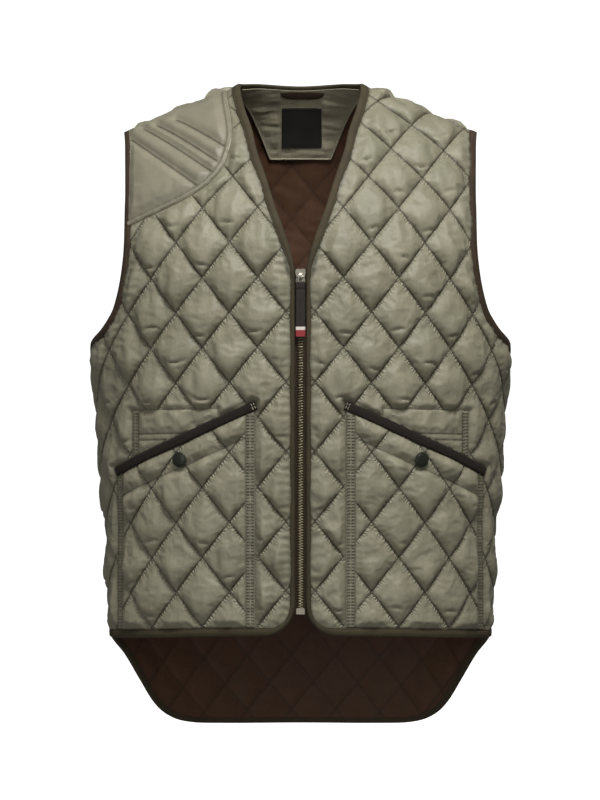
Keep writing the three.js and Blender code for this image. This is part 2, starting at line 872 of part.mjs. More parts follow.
// Plain layer inside the back, between two depths under its inner face.
function innerLayer(outline, deep, shallow, cuts = []) {
  const upper = backPlainNet.block(outline, (i, j) => shallow + tiltAt(i, j), -20);
  const lower = backPlainNet.block(outline, (i, j) => deep + tiltAt(i, j), 40);
  const flat = cutAll(upper.intersect(lower).intersect(prism(outline)), cuts);
  return drape(innerFace, flat, [deep, shallow]);
}

// Depths under the back's inner face of what lies there.
const layer = { lining: 1, facing: 0.8, label: 0.8 };
const innerGap = 0.8;
const liningDepth = -innerGap;
const facingDepth = liningDepth - layer.lining - innerGap;
const labelGap = 0.75;
const labelDepth = facingDepth - layer.facing - labelGap;
const liningReach = innerGap + layer.lining + 0.3;

function liningOutline() {
  const short = 1.5;
  const seam = sideSeam(back, tailStartV).map(({ u, v }) => ({ u: u - short, v }));
  const neck = paths.backNeck.slice(1, -1).map((point) => offsetBy(point, short));
  return [
    ...neck,
    ...otherSide(shoulderSeam(back, short)).slice(1),
    ...otherSide(reversed(paths.backArmhole.slice(1, -1))),
    ...otherSide(seam),
    ...reversed(paths.tail).slice(1, -1),
    ...reversed(seam),
    ...paths.backArmhole.slice(1, -1),
    ...reversed(shoulderSeam(back, short)).slice(0, -1),
  ];
}

// Facing below the back neck: narrow at its foot, and wide enough to reach the shoulders.
function facingOutline() {
  const neck = paths.backNeck.slice(1, -1).map((point) => offsetBy(point, 2));
  return [
    ...neck,
    { u: -74, v: 322 },
    { u: -63.3, v: 293.8 },
    { u: -36.2, v: 222.8 },
    { u: 36.2, v: 222.8 },
    { u: 63.3, v: 293.8 },
    { u: 74, v: 322 },
  ];
}

function rectangle(u0, u1, v0, v1) {
  return [{ u: u0, v: v0 }, { u: u1, v: v0 }, { u: u1, v: v1 }, { u: u0, v: v1 }];
}

// Half-moon tab under the back neck, and the label below it.
const neckTab = { middle: 2.1, halfWidth: 26.5, top: 309.5, drop: 10.5 };
const labelPlace = [-22.4, 25.2, 237.6, 287.4];

function neckTabOutline() {
  const { middle, halfWidth, top, drop } = neckTab;
  const round = [0, 1, 2, 3, 4, 5, 6, 7, 8].map((k) => {
    const turn = (k * Math.PI) / 8;
    const squared = Math.sign(Math.cos(turn)) * Math.pow(Math.abs(Math.cos(turn)), 0.6);
    return { u: middle - halfWidth * squared, v: top - drop * Math.pow(Math.sin(turn), 0.8) };
  });
  return round;
}

// Pocket: the line of its opening, its sides, and the band of the inner pocket above it.
const pocket = {
  opening: [{ u: 49, v: -62.3 }, { u: 131.5, v: -98.2 }, { u: 220.5, v: -131 }],
  inner: 49,
  outerTop: 219.8,
  outerFoot: 224.7,
  trimWidth: 10,
  thickness: 1.3,
  trimThickness: 2.2,
  band: { u0: 90, u1: 194.4, v: -66 },
  snap: { u: 132, v: -119.5, radius: 8.3, height: 2.6 },
};

// Layer on the front that follows its raised points, moved out.
function frontLayer(outline, base, thickness, cuts = []) {
  const lower = frontNet.block(outline, (i, j, u, v) => frontHeight(i, j, u, v) + base, 40);
  const upper = frontNet.block(outline, (i, j, u, v) => frontHeight(i, j, u, v) + base + thickness, -20);
  return drape(front, cutAll(lower.intersect(upper).intersect(prism(outline)), cuts));
}

function pocketOutlines() {
  const opening = directed(pocket.opening, 1);
  const above = opening.map((point) => offsetBy(point, pocket.trimWidth / 2));
  const below = opening.map((point) => offsetBy(point, -pocket.trimWidth / 2));
  const bagTop = opening.map((point) => offsetBy(point, -pocket.trimWidth / 2 - gap));
  const bandFoot = opening.map((point) => offsetBy(point, pocket.trimWidth / 2 + gap));
  const onLine = (line, u) => {
    const k = u < line[1].u ? 0 : 1;
    const t = (u - line[k].u) / (line[k + 1].u - line[k].u);
    return { u, v: mix(line[k].v, line[k + 1].v, t) };
  };
  const { u0, u1, v } = pocket.band;
  return {
    trim: [...above, ...reversed(below)],
    bag: [
      onLine(bagTop, pocket.inner),
      bagTop[1],
      onLine(bagTop, pocket.outerTop),
      { u: pocket.outerFoot, v: hemV },
      { u: pocket.inner, v: hemV },
    ],
    band: [{ u: u0, v }, onLine(bandFoot, u0), bandFoot[1], onLine(bandFoot, u1), { u: u1, v }],
  };
}

// Domed cap of the snap, standing on the pocket.
function snapCap() {
  const { u, v, radius, height } = pocket.snap;
  const profile = [
    new THREE.Vector2(0, 0),
    new THREE.Vector2(radius - 0.5, 0),
    new THREE.Vector2(radius, 0.6),
    new THREE.Vector2(radius * 0.82, height * 0.8),
    new THREE.Vector2(radius * 0.45, height),
    new THREE.Vector2(0, height),
  ];
  const cap = new THREE.LatheGeometry(profile, 20);
  const base = wall + puffHeight + gap + pocket.thickness + gap;
  const foot = front.place(u, v, base - 2.2);
  const out = front.place(u, v, base).sub(foot).normalize();
  cap.applyQuaternion(new THREE.Quaternion().setFromUnitVectors(new THREE.Vector3(0, 1, 0), out));
  cap.translate(foot.x, foot.y, foot.z);
  return geometryOf(solidOf(cap));
}

// Net of the shoulder patch: its rows run along the sewn channels, at uneven distances.
class ChannelNet extends Net {
  constructor(rows, cell, turn) {
    super({ start: 0, row: 0, cellU: cell, cellV: 1, run: 1, turn });
    this.rows = rows;
  }

  corner(i, j) {
    const a = i * this.cellU;
    const { b } = this.rows[j];
    const c = Math.cos(this.turn);
    const s = Math.sin(this.turn);
    return { u: a * c - b * s, v: a * s + b * c };
  }

  reach() {
    return { i0: 6, i1: 26, j0: 0, j1: this.rows.length - 1 };
  }
}

// Rows of the patch's net, each with its place across the channels and its share of the puff.
function patchRows() {
  const { channels, cell } = patch;
  const low = [0, 1, 2, 3, 4].map((k) => ({ b: channels[0] - (5 - k) * cell, share: 0.7 }));
  const middle = channels.flatMap((b, k) => (
    k === 0 ? [{ b, share: 0 }] : [{ b: (b + channels[k - 1]) / 2, share: 1 }, { b, share: 0 }]
  ));
  const top = channels[channels.length - 1];
  const high = [0, 1, 2, 3, 4].map((k) => ({ b: top + k * cell + 14, share: 0.7 }));
  return [...low, ...middle, ...high];
}

// Shoulder patch: a smooth layer puffed between its sewn channels and flat at its edges.
function shoulderPatch() {
  const rows = patchRows();
  const net = new ChannelNet(rows, patch.cell, patch.slant);
  const top = patch.base + patch.thickness;
  const heightAt = (i, j, u, v) => {
    const toBinding = distanceTo(paths.frontArmhole, u, v) - binding.armhole;
    const room = Math.min(distanceTo(patchFreeEdge, u, v), toBinding);
    return top + patch.puff * rows[j].share * smoothStep(room / 12) + tiltAt(i, j);
  };
  const lower = net.block(patch.edge, (i, j) => patch.base + tiltAt(i, j), 40);
  const upper = net.block(patch.edge, heightAt, -20);
  const bounds = cutAll(prism(outlines.front), frontCuts).intersect(prism(patch.edge));
  return drape(front, lower.intersect(upper).intersect(bounds), [patch.base, top]);
}

// Neck binding in one length: up one front, round the back neck and down the other front.
function neckBinding() {
  const below = () => binding.below;
  const rise = boundSections(front, paths.neck, neckWidth, below);
  const round = boundSections(back, paths.backNeck, () => binding.neck, (k) => (
    k === 0 || k === paths.backNeck.length - 1 ? binding.below : -0.2
  ));
  return sweep([...rise, ...round.slice(1, -1), ...mirrorSections(rise).reverse()]);
}

function armholeBinding() {
  const width = () => binding.armhole;
  const below = () => -liningReach;
  const foreward = boundSections(front, paths.frontArmhole, width, below);
  const rearward = boundSections(back, paths.backArmhole, width, below);
  return sweep([...foreward, ...rearward.slice(1, -1).reverse()], true);
}

// Zip: its tapes lie under the front edges, its chain between them.
const zip = {
  foot: -586,
  chainHalf: 3,
  tapeHalf: 16,
  tape: { low: -2.6, high: -1.7 },
  chain: { low: -1.3, high: 1.7 },
};
const sliderTop = -214.5;
const sliderLength = 13;
const vAt = (z) => z - level.rise + seamStart;

// Bar along the centre front between two levels, from u0 to u1 and between two heights.
function frontBar(fromZ, toZ, u0, u1, low, high) {
  const count = Math.max(1, Math.round((toZ - fromZ) / 36));
  const sections = Array.from({ length: count + 1 }, (_, k) => {
    const v = vAt(mix(fromZ, toZ, k / count));
    return [[u0, low], [u1, low], [u1, high], [u0, high]].map(([u, w]) => front.place(u, v, w));
  });
  return sweep(sections);
}

// Slider with its bridge. The pull's link hangs in the window of the bridge.
const frontFace = -139;
const hinge = { y: frontFace - 4.6, z: -222.4 };
const link = { halfWidth: 5.2, bar: 1.8, deep: 1.6, length: 11.5 };
const pullTab = { halfWidth: 5.2, deep: 2, top: -233.2, foot: -288, corner: 1.2 };

function boxSolid(x0, x1, y0, y1, z0, z1) {
  const box = new THREE.BoxGeometry(x1 - x0, y1 - y0, z1 - z0);
  return solidOf(box.translate((x0 + x1) / 2, (y0 + y1) / 2, (z0 + z1) / 2));
}

function slider() {
  const bottom = sliderTop - sliderLength;
  const baseFront = frontFace - 3.2;
  const base = boxSolid(-5, 5, baseFront, frontFace + 1.3, bottom, sliderTop);
  const bridge = boxSolid(-1.6, 1.6, frontFace - 7.6, baseFront + 0.2, hinge.z - 4.2, hinge.z + 4.2);
  const window = boxSolid(-3, 3, hinge.y - 1.4, baseFront, hinge.z - 2.6, hinge.z + 2.4);
  return geometryOf(base.add(bridge.subtract(window)));
}

function pullLink() {
  const { halfWidth, bar, deep, length } = link;
  const top = hinge.z + bar / 2;
  const outer = boxSolid(-halfWidth, halfWidth, hinge.y - deep / 2, hinge.y + deep / 2, top - length, top);
  const hole = boxSolid(
    -halfWidth + bar, halfWidth - bar, hinge.y - deep, hinge.y + deep, top - length + bar, top - bar,
  );
  return geometryOf(outer.subtract(hole));
}

function pullTabSolid() {
  const { halfWidth, deep, top, foot, corner } = pullTab;
  const shape = new THREE.Shape();
  shape.moveTo(-halfWidth, top);
  shape.lineTo(-halfWidth, foot + corner);
  shape.absarc(-halfWidth + corner, foot + corner, corner, Math.PI, Math.PI * 1.5, false);
  shape.absarc(halfWidth - corner, foot + corner, corner, -Math.PI / 2, 0, false);
  shape.lineTo(halfWidth, top);
  const tab = new THREE.ExtrudeGeometry(shape, { depth: deep, bevelEnabled: false, curveSegments: 3 });
  tab.rotateX(Math.PI / 2).translate(0, hinge.y + deep / 2, 0);
  return geometryOf(solidOf(tab));
}

function addBothSides(name, geometry, finish) {
  addPiece(`${name}_left`, geometry, finish);
  addPiece(`${name}_right`, mirrored(geometry), finish);
}

function addPanels() {
  addPiece('front_left', frontPanel(false), 'shell');
  addPiece('front_right', mirrored(frontPanel(true)), 'shell');
  addPiece('back', backPanel(), 'shell');
  const liningFloor = liningDepth - layer.lining;
  const cuts = sideCuts(1);
  addPiece('back_lining', innerLayer(liningOutline(), liningFloor, liningDepth, cuts), 'lining');
  addPiece('shoulder_patch_right', mirrored(shoulderPatch()), 'shell');
}

function addNeckPieces() {
  const facingFloor = facingDepth - layer.facing;
  addPiece('neck_facing', innerLayer(facingOutline(), facingFloor, facingDepth), 'facing');
  const labelFloor = labelDepth - layer.label;
  const [u0, u1, v0, v1] = labelPlace;
  const labelFace = new StiffFace(labelPlace, labelDepth);
  addPiece('label', plate(rectangle(u0, u1, v0, v1), labelFace, labelFloor, labelDepth), 'label');
  const { middle, halfWidth, top, drop } = neckTab;
  const tabFace = new StiffFace([middle - halfWidth, middle + halfWidth, top - drop, top], labelDepth);
  addPiece('neck_tab', plate(neckTabOutline(), tabFace, labelFloor, labelDepth), 'tape');
}

function addPockets() {
  const { trim, bag, band } = pocketOutlines();
  addBothSides('pocket', frontLayer(bag, gap, pocket.thickness, frontCuts), 'shell');
  addBothSides('pocket_trim', frontLayer(trim, 0.5, pocket.trimThickness), 'braid');
  addBothSides('upper_pocket', frontLayer(band, gap, pocket.thickness), 'shell');
  addBothSides('snap_cap', snapCap(), 'cap');
}

function addBindings() {
  addPiece('neck_binding', neckBinding(), 'tape');
  const edge = boundSections(front, paths.frontEdge, frontEdgeWidth, () => binding.below);
  addBothSides('front_binding', sweep(edge), 'tape');
  addBothSides('armhole_binding', armholeBinding(), 'tape');
  const tail = boundSections(back, paths.tail, () => binding.tail, () => -liningReach);
  addPiece('tail_binding', sweep(tail), 'tape');
}

function addZip() {
  const { foot, chainHalf, tapeHalf, tape, chain } = zip;
  const chainTop = sliderTop - sliderLength - gap;
  addBothSides('zip_tape', frontBar(foot, sliderTop, gap / 2, tapeHalf, tape.low, tape.high), 'tape');
  addPiece('zip_chain', frontBar(foot + 6, chainTop, -chainHalf, chainHalf, chain.low, chain.high), 'metal');
  addPiece('zip_box', frontBar(foot, foot + 5.7, -4, 4, chain.low, chain.high + 0.6), 'metal');
  addPiece('zip_slider', slider(), 'metal');
  addPiece('pull_link', pullLink(), 'metal');
  addPiece('pull_tab', pullTabSolid(), 'tab');
}

addPanels();
addNeckPieces();
addPockets();
addBindings();
addZip();

export default garment;
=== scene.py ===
"""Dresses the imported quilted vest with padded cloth, bindings, pockets, a zip and its sewing."""

import logging
import math
from dataclasses import dataclass, field
from enum import Enum
from typing import Callable, Sequence

import bpy
import numpy as np
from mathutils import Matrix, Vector
from mathutils.geometry import delaunay_2d_cdt
from mathutils.kdtree import KDTree


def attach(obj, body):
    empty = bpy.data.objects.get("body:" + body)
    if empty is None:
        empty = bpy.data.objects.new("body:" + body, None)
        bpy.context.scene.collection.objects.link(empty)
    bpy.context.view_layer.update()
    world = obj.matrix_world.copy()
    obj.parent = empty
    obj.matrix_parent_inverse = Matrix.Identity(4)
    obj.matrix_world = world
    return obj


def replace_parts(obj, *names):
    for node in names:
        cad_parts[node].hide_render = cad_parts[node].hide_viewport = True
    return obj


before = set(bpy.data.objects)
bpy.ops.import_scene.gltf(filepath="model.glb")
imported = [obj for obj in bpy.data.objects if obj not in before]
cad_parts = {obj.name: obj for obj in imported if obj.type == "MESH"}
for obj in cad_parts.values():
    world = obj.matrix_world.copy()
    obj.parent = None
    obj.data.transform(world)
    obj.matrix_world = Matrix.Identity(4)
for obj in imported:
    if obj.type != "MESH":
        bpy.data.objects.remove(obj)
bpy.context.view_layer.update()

Array = np.ndarray
MM = 0.001
# Distance in millimetres below which a point counts as lying on a sewn line.
ON_LINE = 0.05
log = logging.getLogger("vest")


# The figure that the cloth lies on, in millimetres. RISE is the level where the cloth starts to lean
# inward, SEAM_START the length up the pattern there, and SIDE the distance at which the sides hang lowest.


@dataclass(frozen=True)
class Table:
    """A smooth curve that keeps between the rows it is given."""

    places: tuple[float, ...]
    values: tuple[float, ...]

    def at(self, place: Array | float) -> Array:
        """Reads the curve.

        Args:
            place: Where to read it. Past its ends the curve stays level.

        Returns:
            The value at each place.
        """
        xs, ys = np.array(self.places, float), np.array(self.values, float)
        slopes = np.diff(ys) / np.diff(xs)
        tangents = np.concatenate([slopes[:1], slopes[1:], slopes[-1:]])
        before, after = slopes[:-1], slopes[1:]
        both = before + after
        safe = np.where(both == 0, 1, both)
        tangents[1:-1] = np.where(before * after <= 0, 0, 2 * before * after / safe)
        where = np.clip(place, xs[0], xs[-1])
        i = np.clip(np.searchsorted(xs, where, side="right") - 1, 0, len(xs) - 2)
        span = xs[i + 1] - xs[i]
        t = (where - xs[i]) / span
        t2, t3 = t * t, t * t * t
        return (
            (2 * t3 - 3 * t2 + 1) * ys[i]
            + (t3 - 2 * t2 + t) * span * tangents[i]
            + (3 * t2 - 2 * t3) * ys[i + 1]
            + (t3 - t2) * span * tangents[i + 1]
        )


RISE = -146.0
CHEST = -218.0
HEM = -610.0
SEAM_START = 152.0
SIDE = 212.0
LEVELS = (-740, -612, -534, -489, -444, -355, -299, -200, -100, 60)
HALF_WIDTH = Table(LEVELS, (208, 210.5, 213.3, 214.5, 220, 225, 232, 229, 222, 212))
FRONT_DEPTH = Table(LEVELS, (118, 122, 126, 129, 132, 137, 139, 139, 138, 138))
BACK_DEPTH = Table(LEVELS, (114, 112, 107, 105, 106, 112, 117, 120, 120, 120))
RIDGE = Table(
    (0, 9, 24, 42, 66, 85, 106, 139, 165, 194, 240),
    (30, 29.6, 26, 16, -2.5, -12.5, -22.5, -34.5, -45.5, -57, -74),
)


def smooth_step(value: Array | float) -> Array:
    """Eases a value from 0 to 1."""
    t = np.clip(value, 0.0, 1.0)
    return t * t * (3 - 2 * t)


def side_drop(z: Array) -> Array:
    """How far the cloth hangs lower at the sides than at the centre, at a level."""
    most, start, fall = 9.5, -200, 412
    return most * np.clip((start - z) / fall, 0, 1.1)


@dataclass
class Half:
    """One half of the figure. Cloth lies on it by its lengths u, sideways, and v, up."""

    facing: int
    depth: Table
    roundness: float
    lean: float
    step: float = 4.0
    low_v: float = -460.0
    high_v: float = 388.0
    reach_u: float = 344.0
    arcs: int = 60
    spots: Array = field(init=False)
    outward: Array = field(init=False)

    def __post_init__(self) -> None:
        """Works out the grid of places and outward directions."""
        us = np.arange(0, self.reach_u + 1, self.step)
        vs = np.arange(self.low_v, self.high_v + 1, self.step)
        right = np.array([self._row(us, v) for v in vs])
        left = right[:, :0:-1] * np.array([-1, 1, 1])
        self.spots = np.concatenate([left, right], axis=1)
        along_v, along_u = np.gradient(self.spots, axis=(0, 1))
        out = np.cross(along_u, along_v) * -self.facing
        self.outward = out / np.maximum(np.linalg.norm(out, axis=2, keepdims=True), 1e-9)

    def closure(self, z: Array, top: Array) -> Array:
        """Share of the full depth that is left at a height, under a ridge of a given height."""
        rise = np.clip((z - CHEST) / (top - CHEST), 0, 1)
        return np.power(1 - np.power(rise, self.roundness), 1 / self.roundness)

    def column(self, x: Array) -> tuple[Array, Array, Array]:
        """Depth, height and running length of the curves from the rise level to the ridge.

        Args:
            x: Distances from the centre plane.

        Returns:
            Three arrays with a row for each distance.
        """
        x = np.atleast_1d(x)[:, None]
        top = RIDGE.at(np.abs(x))
        start = np.arcsin(np.power((RISE - CHEST) / (top - CHEST), self.roundness / 2))
        turn = start + (math.pi / 2 - start) * np.linspace(0, 1, self.arcs + 1)[None, :]
        z = CHEST + (top - CHEST) * np.power(np.sin(turn), 2 / self.roundness)
        across = np.sqrt(np.clip(1 - (x / HALF_WIDTH.at(z)) ** 2, 0, None))
        bend = np.power(np.clip(np.cos(turn), 0, None), 2 / self.roundness)
        y = self.depth.at(z) * bend * across
        steps = np.hypot(np.diff(y, axis=1), np.diff(z, axis=1))
        length = np.concatenate([np.zeros_like(x), np.cumsum(steps, axis=1)], axis=1)
        return y, z, length

    def section_level(self, v: float) -> float:
        """Level of the section that sets the sideways lengths at v."""
        if v <= SEAM_START:
            return v - SEAM_START + RISE
        _, z, length = self.column(np.array([100.0]))
        return float(np.interp(v - SEAM_START, length[0], z[0]))

    def section(self, v: float) -> tuple[float, Array, Array]:
        """Half width, angles and running lengths round the section at v."""
        z = self.section_level(v)
        width = float(HALF_WIDTH.at(z))
        deep = max(8.0, float(self.depth.at(z) * self.closure(z, RIDGE.at(100.0))))
        angles = np.linspace(0, 0.6 * math.pi, 37)
        middle = (angles[1:] + angles[:-1]) / 2
        steps = np.hypot(width * np.cos(middle), deep * np.sin(middle)) * (angles[1] - angles[0])
        return width, angles, np.concatenate([[0], np.cumsum(steps)])

    def side_length(self, v: float) -> float:
        """Length from the centre to the side seam at v."""
        return float(self.section(v)[2][30])

    def lean_at(self, v: float) -> float:
        """How far the cloth is shifted outward at v."""
        return self.lean * float(np.clip((v - SEAM_START) / 113, 0, 2)) ** 1.4

    def _row(self, us: Array, v: float) -> Array:
        """Points of the inner face along one row."""
        width, angles, lengths = self.section(v)
        angle = np.interp(np.clip(us - self.lean_at(v), 0, None), lengths, angles)
        x = width * np.sin(angle)
        if v <= SEAM_START:
            z = np.full_like(x, v - SEAM_START + RISE)
            y = self.depth.at(z) * self.closure(z, RIDGE.at(x)) * np.cos(angle)
        else:
            ys, zs, run = self.column(x)
            total = run[:, -1]
            wanted = v - SEAM_START
            over = wanted > total
            wanted = np.where(over, 2 * total - wanted, wanted)
            y = np.array([np.interp(w, r, c) for w, r, c in zip(wanted, run, ys)])
            z = np.array([np.interp(w, r, c) for w, r, c in zip(wanted, run, zs)])
            y = np.where(over, -y, y)
        return np.stack([x, self.facing * y, z - side_drop(z) * (x / SIDE) ** 2], axis=1)

    def _sample(self, grid: Array, flat: Array) -> Array:
        """Reads a grid smoothly at flat places."""
        a = (flat[:, 0] + self.reach_u) / self.step
        b = (flat[:, 1] - self.low_v) / self.step
        i = np.clip(np.floor(a).astype(int), 1, grid.shape[1] - 3)
        j = np.clip(np.floor(b).astype(int), 1, grid.shape[0] - 3)
        rows = _smooth_weights(b - j)
        columns = _smooth_weights(a - i)
        total = np.zeros((len(flat), 3))
        for q, row in enumerate(rows):
            for p, column in enumerate(columns):
                total += (row * column)[:, None] * grid[j + q - 1, i + p - 1]
        return total

    def place(self, flat: Array, height: Array | float) -> Array:
        """Lays flat places on the figure.

        Args:
            flat: Rows of u and v.
            height: Height off the inner face, outward positive.

        Returns:
            Rows of x, y and z.
        """
        out = self.out(flat)
        return self._sample(self.spots, flat) + out * np.reshape(height, (-1, 1))

    def out(self, flat: Array) -> Array:
        """Outward directions at flat places."""
        out = self._sample(self.outward, flat)
        return out / np.linalg.norm(out, axis=1, keepdims=True)

    def ridge_at(self, x: float) -> Array:
        """The u and v of the shoulder ridge at one distance from the centre plane."""
        v = SEAM_START + float(self.column(np.array([x]))[2][0, -1])
        width, angles, lengths = self.section(v)
        u = float(np.interp(math.asin(min(1.0, x / width)), angles, lengths))
        return np.array([u + self.lean_at(v), v])


def _smooth_weights(t: Array) -> list[Array]:
    """Shares of four neighbours on a smooth curve through them."""
    return [
        0.5 * (-t + 2 * t**2 - t**3),
        0.5 * (2 - 5 * t**2 + 3 * t**3),
        0.5 * (t + 4 * t**2 - 3 * t**3),
        0.5 * (-(t**2) + t**3),
    ]


FRONT = Half(facing=-1, depth=FRONT_DEPTH, roundness=1.6, lean=15)
BACK = Half(facing=1, depth=BACK_DEPTH, roundness=2.0, lean=0)


# The flat pattern.


@dataclass
class Edge:
    """A sewn or bound edge of the pattern: evenly spaced points, each with its inward side."""

    points: Array
    sides: Array
    lengths: Array

    @classmethod
    def through(
        cls,
        rows: Sequence[Sequence[float]],
        inward: int,
        start_side: Array | None = None,
        end_side: Array | None = None,
        step: float = 2.0,
    ) -> "Edge":
        """Makes an edge through rows of u and v.

        Args:
            rows: Points that it passes.
            inward: 1 if the cloth lies on its left, and -1 if on its right.
            start_side: Direction of the seam that its first end meets.
            end_side: Direction of the seam that its last end meets.
            step: Spacing of its points.

        Returns:
            The edge.
        """
        points = spaced(curve_through(np.array(rows, float)), step)
        along = np.gradient(points, axis=0)
        along /= np.linalg.norm(along, axis=1, keepdims=True)
        sides = np.stack([-along[:, 1], along[:, 0]], axis=1) * inward
        lengths = run_of(points)
        blend = 14.0
        for seam, distance in ((start_side, lengths), (end_side, lengths[-1] - lengths)):
            if seam is None:
                continue
            share = smooth_step(1 - distance / blend)[:, None]
            turned = sides * (1 - share) + np.asarray(seam)[None, :] * share
            turned /= np.linalg.norm(turned, axis=1, keepdims=True)
            stretch = 1 / np.clip(np.sum(turned * sides, axis=1, keepdims=True), 0.7, 1)
            sides = turned * stretch
        return cls(points, sides, lengths)

    def shifted(self, distance: Array | float) -> Array:
        """Points at a distance inside the edge."""
        return self.points + self.sides * np.reshape(distance, (-1, 1))

    def mirrored(self) -> "Edge":
        """The same edge on the other side of the centre."""
        flip = np.array([-1, 1])
        return Edge(self.points * flip, self.sides * flip, self.lengths)


def run_of(points: Array) -> Array:
    """Running length at each point of a path."""
    steps = np.linalg.norm(np.diff(points, axis=0), axis=1)
    return np.concatenate([[0], np.cumsum(steps)])


def curve_through(rows: Array, parts: int = 12) -> Array:
    """A smooth path through points.

    Args:
        rows: Points that it passes.
        parts: Steps between two of them.

    Returns:
        The points of the path.
    """
    ends = np.concatenate([[2 * rows[0] - rows[1]], rows, [2 * rows[-1] - rows[-2]]])
    made = []
    for a, b, c, d in zip(ends, ends[1:], ends[2:], ends[3:]):
        gaps = (b - a, c - b, d - c)
        k1, k2, k3 = (max(1e-6, float(np.linalg.norm(gap)) ** 0.5) for gap in gaps)
        m1 = (c - b) + k2 * ((b - a) / k1 - (c - a) / (k1 + k2))
        m2 = (c - b) + k2 * ((d - c) / k3 - (d - b) / (k2 + k3))
        t = np.linspace(0, 1, parts, endpoint=False)[:, None]
        made.append(
            (2 * t**3 - 3 * t**2 + 1) * b
            + (t**3 - 2 * t**2 + t) * m1
            + (3 * t**2 - 2 * t**3) * c
            + (t**3 - t**2) * m2
        )
    return np.concatenate([*made, rows[-1:]])


def spaced(path: Array, step: float) -> Array:
    """The same path with evenly spaced points."""
    run = run_of(path)
    count = max(2, int(round(run[-1] / step)) + 1)
    places = np.linspace(0, run[-1], count)
    return np.stack([np.interp(places, run, path[:, k]) for k in range(path.shape[1])], axis=1)


def toward(start: Array, end: Array) -> Array:
    """Direction from one point to another."""
    return (end - start) / np.linalg.norm(end - start)


@dataclass(frozen=True)
class Widths:
    """Widths of the bindings, and heights of their faces off the inner face of the wall."""

    neck: float = 9.0
    front: float = 5.5
    hem: float = 9.5
    armhole: float = 8.0
    tail: float = 6.5
    below: float = -1.0
    above: float = 3.4
    tuck: float = 1.5


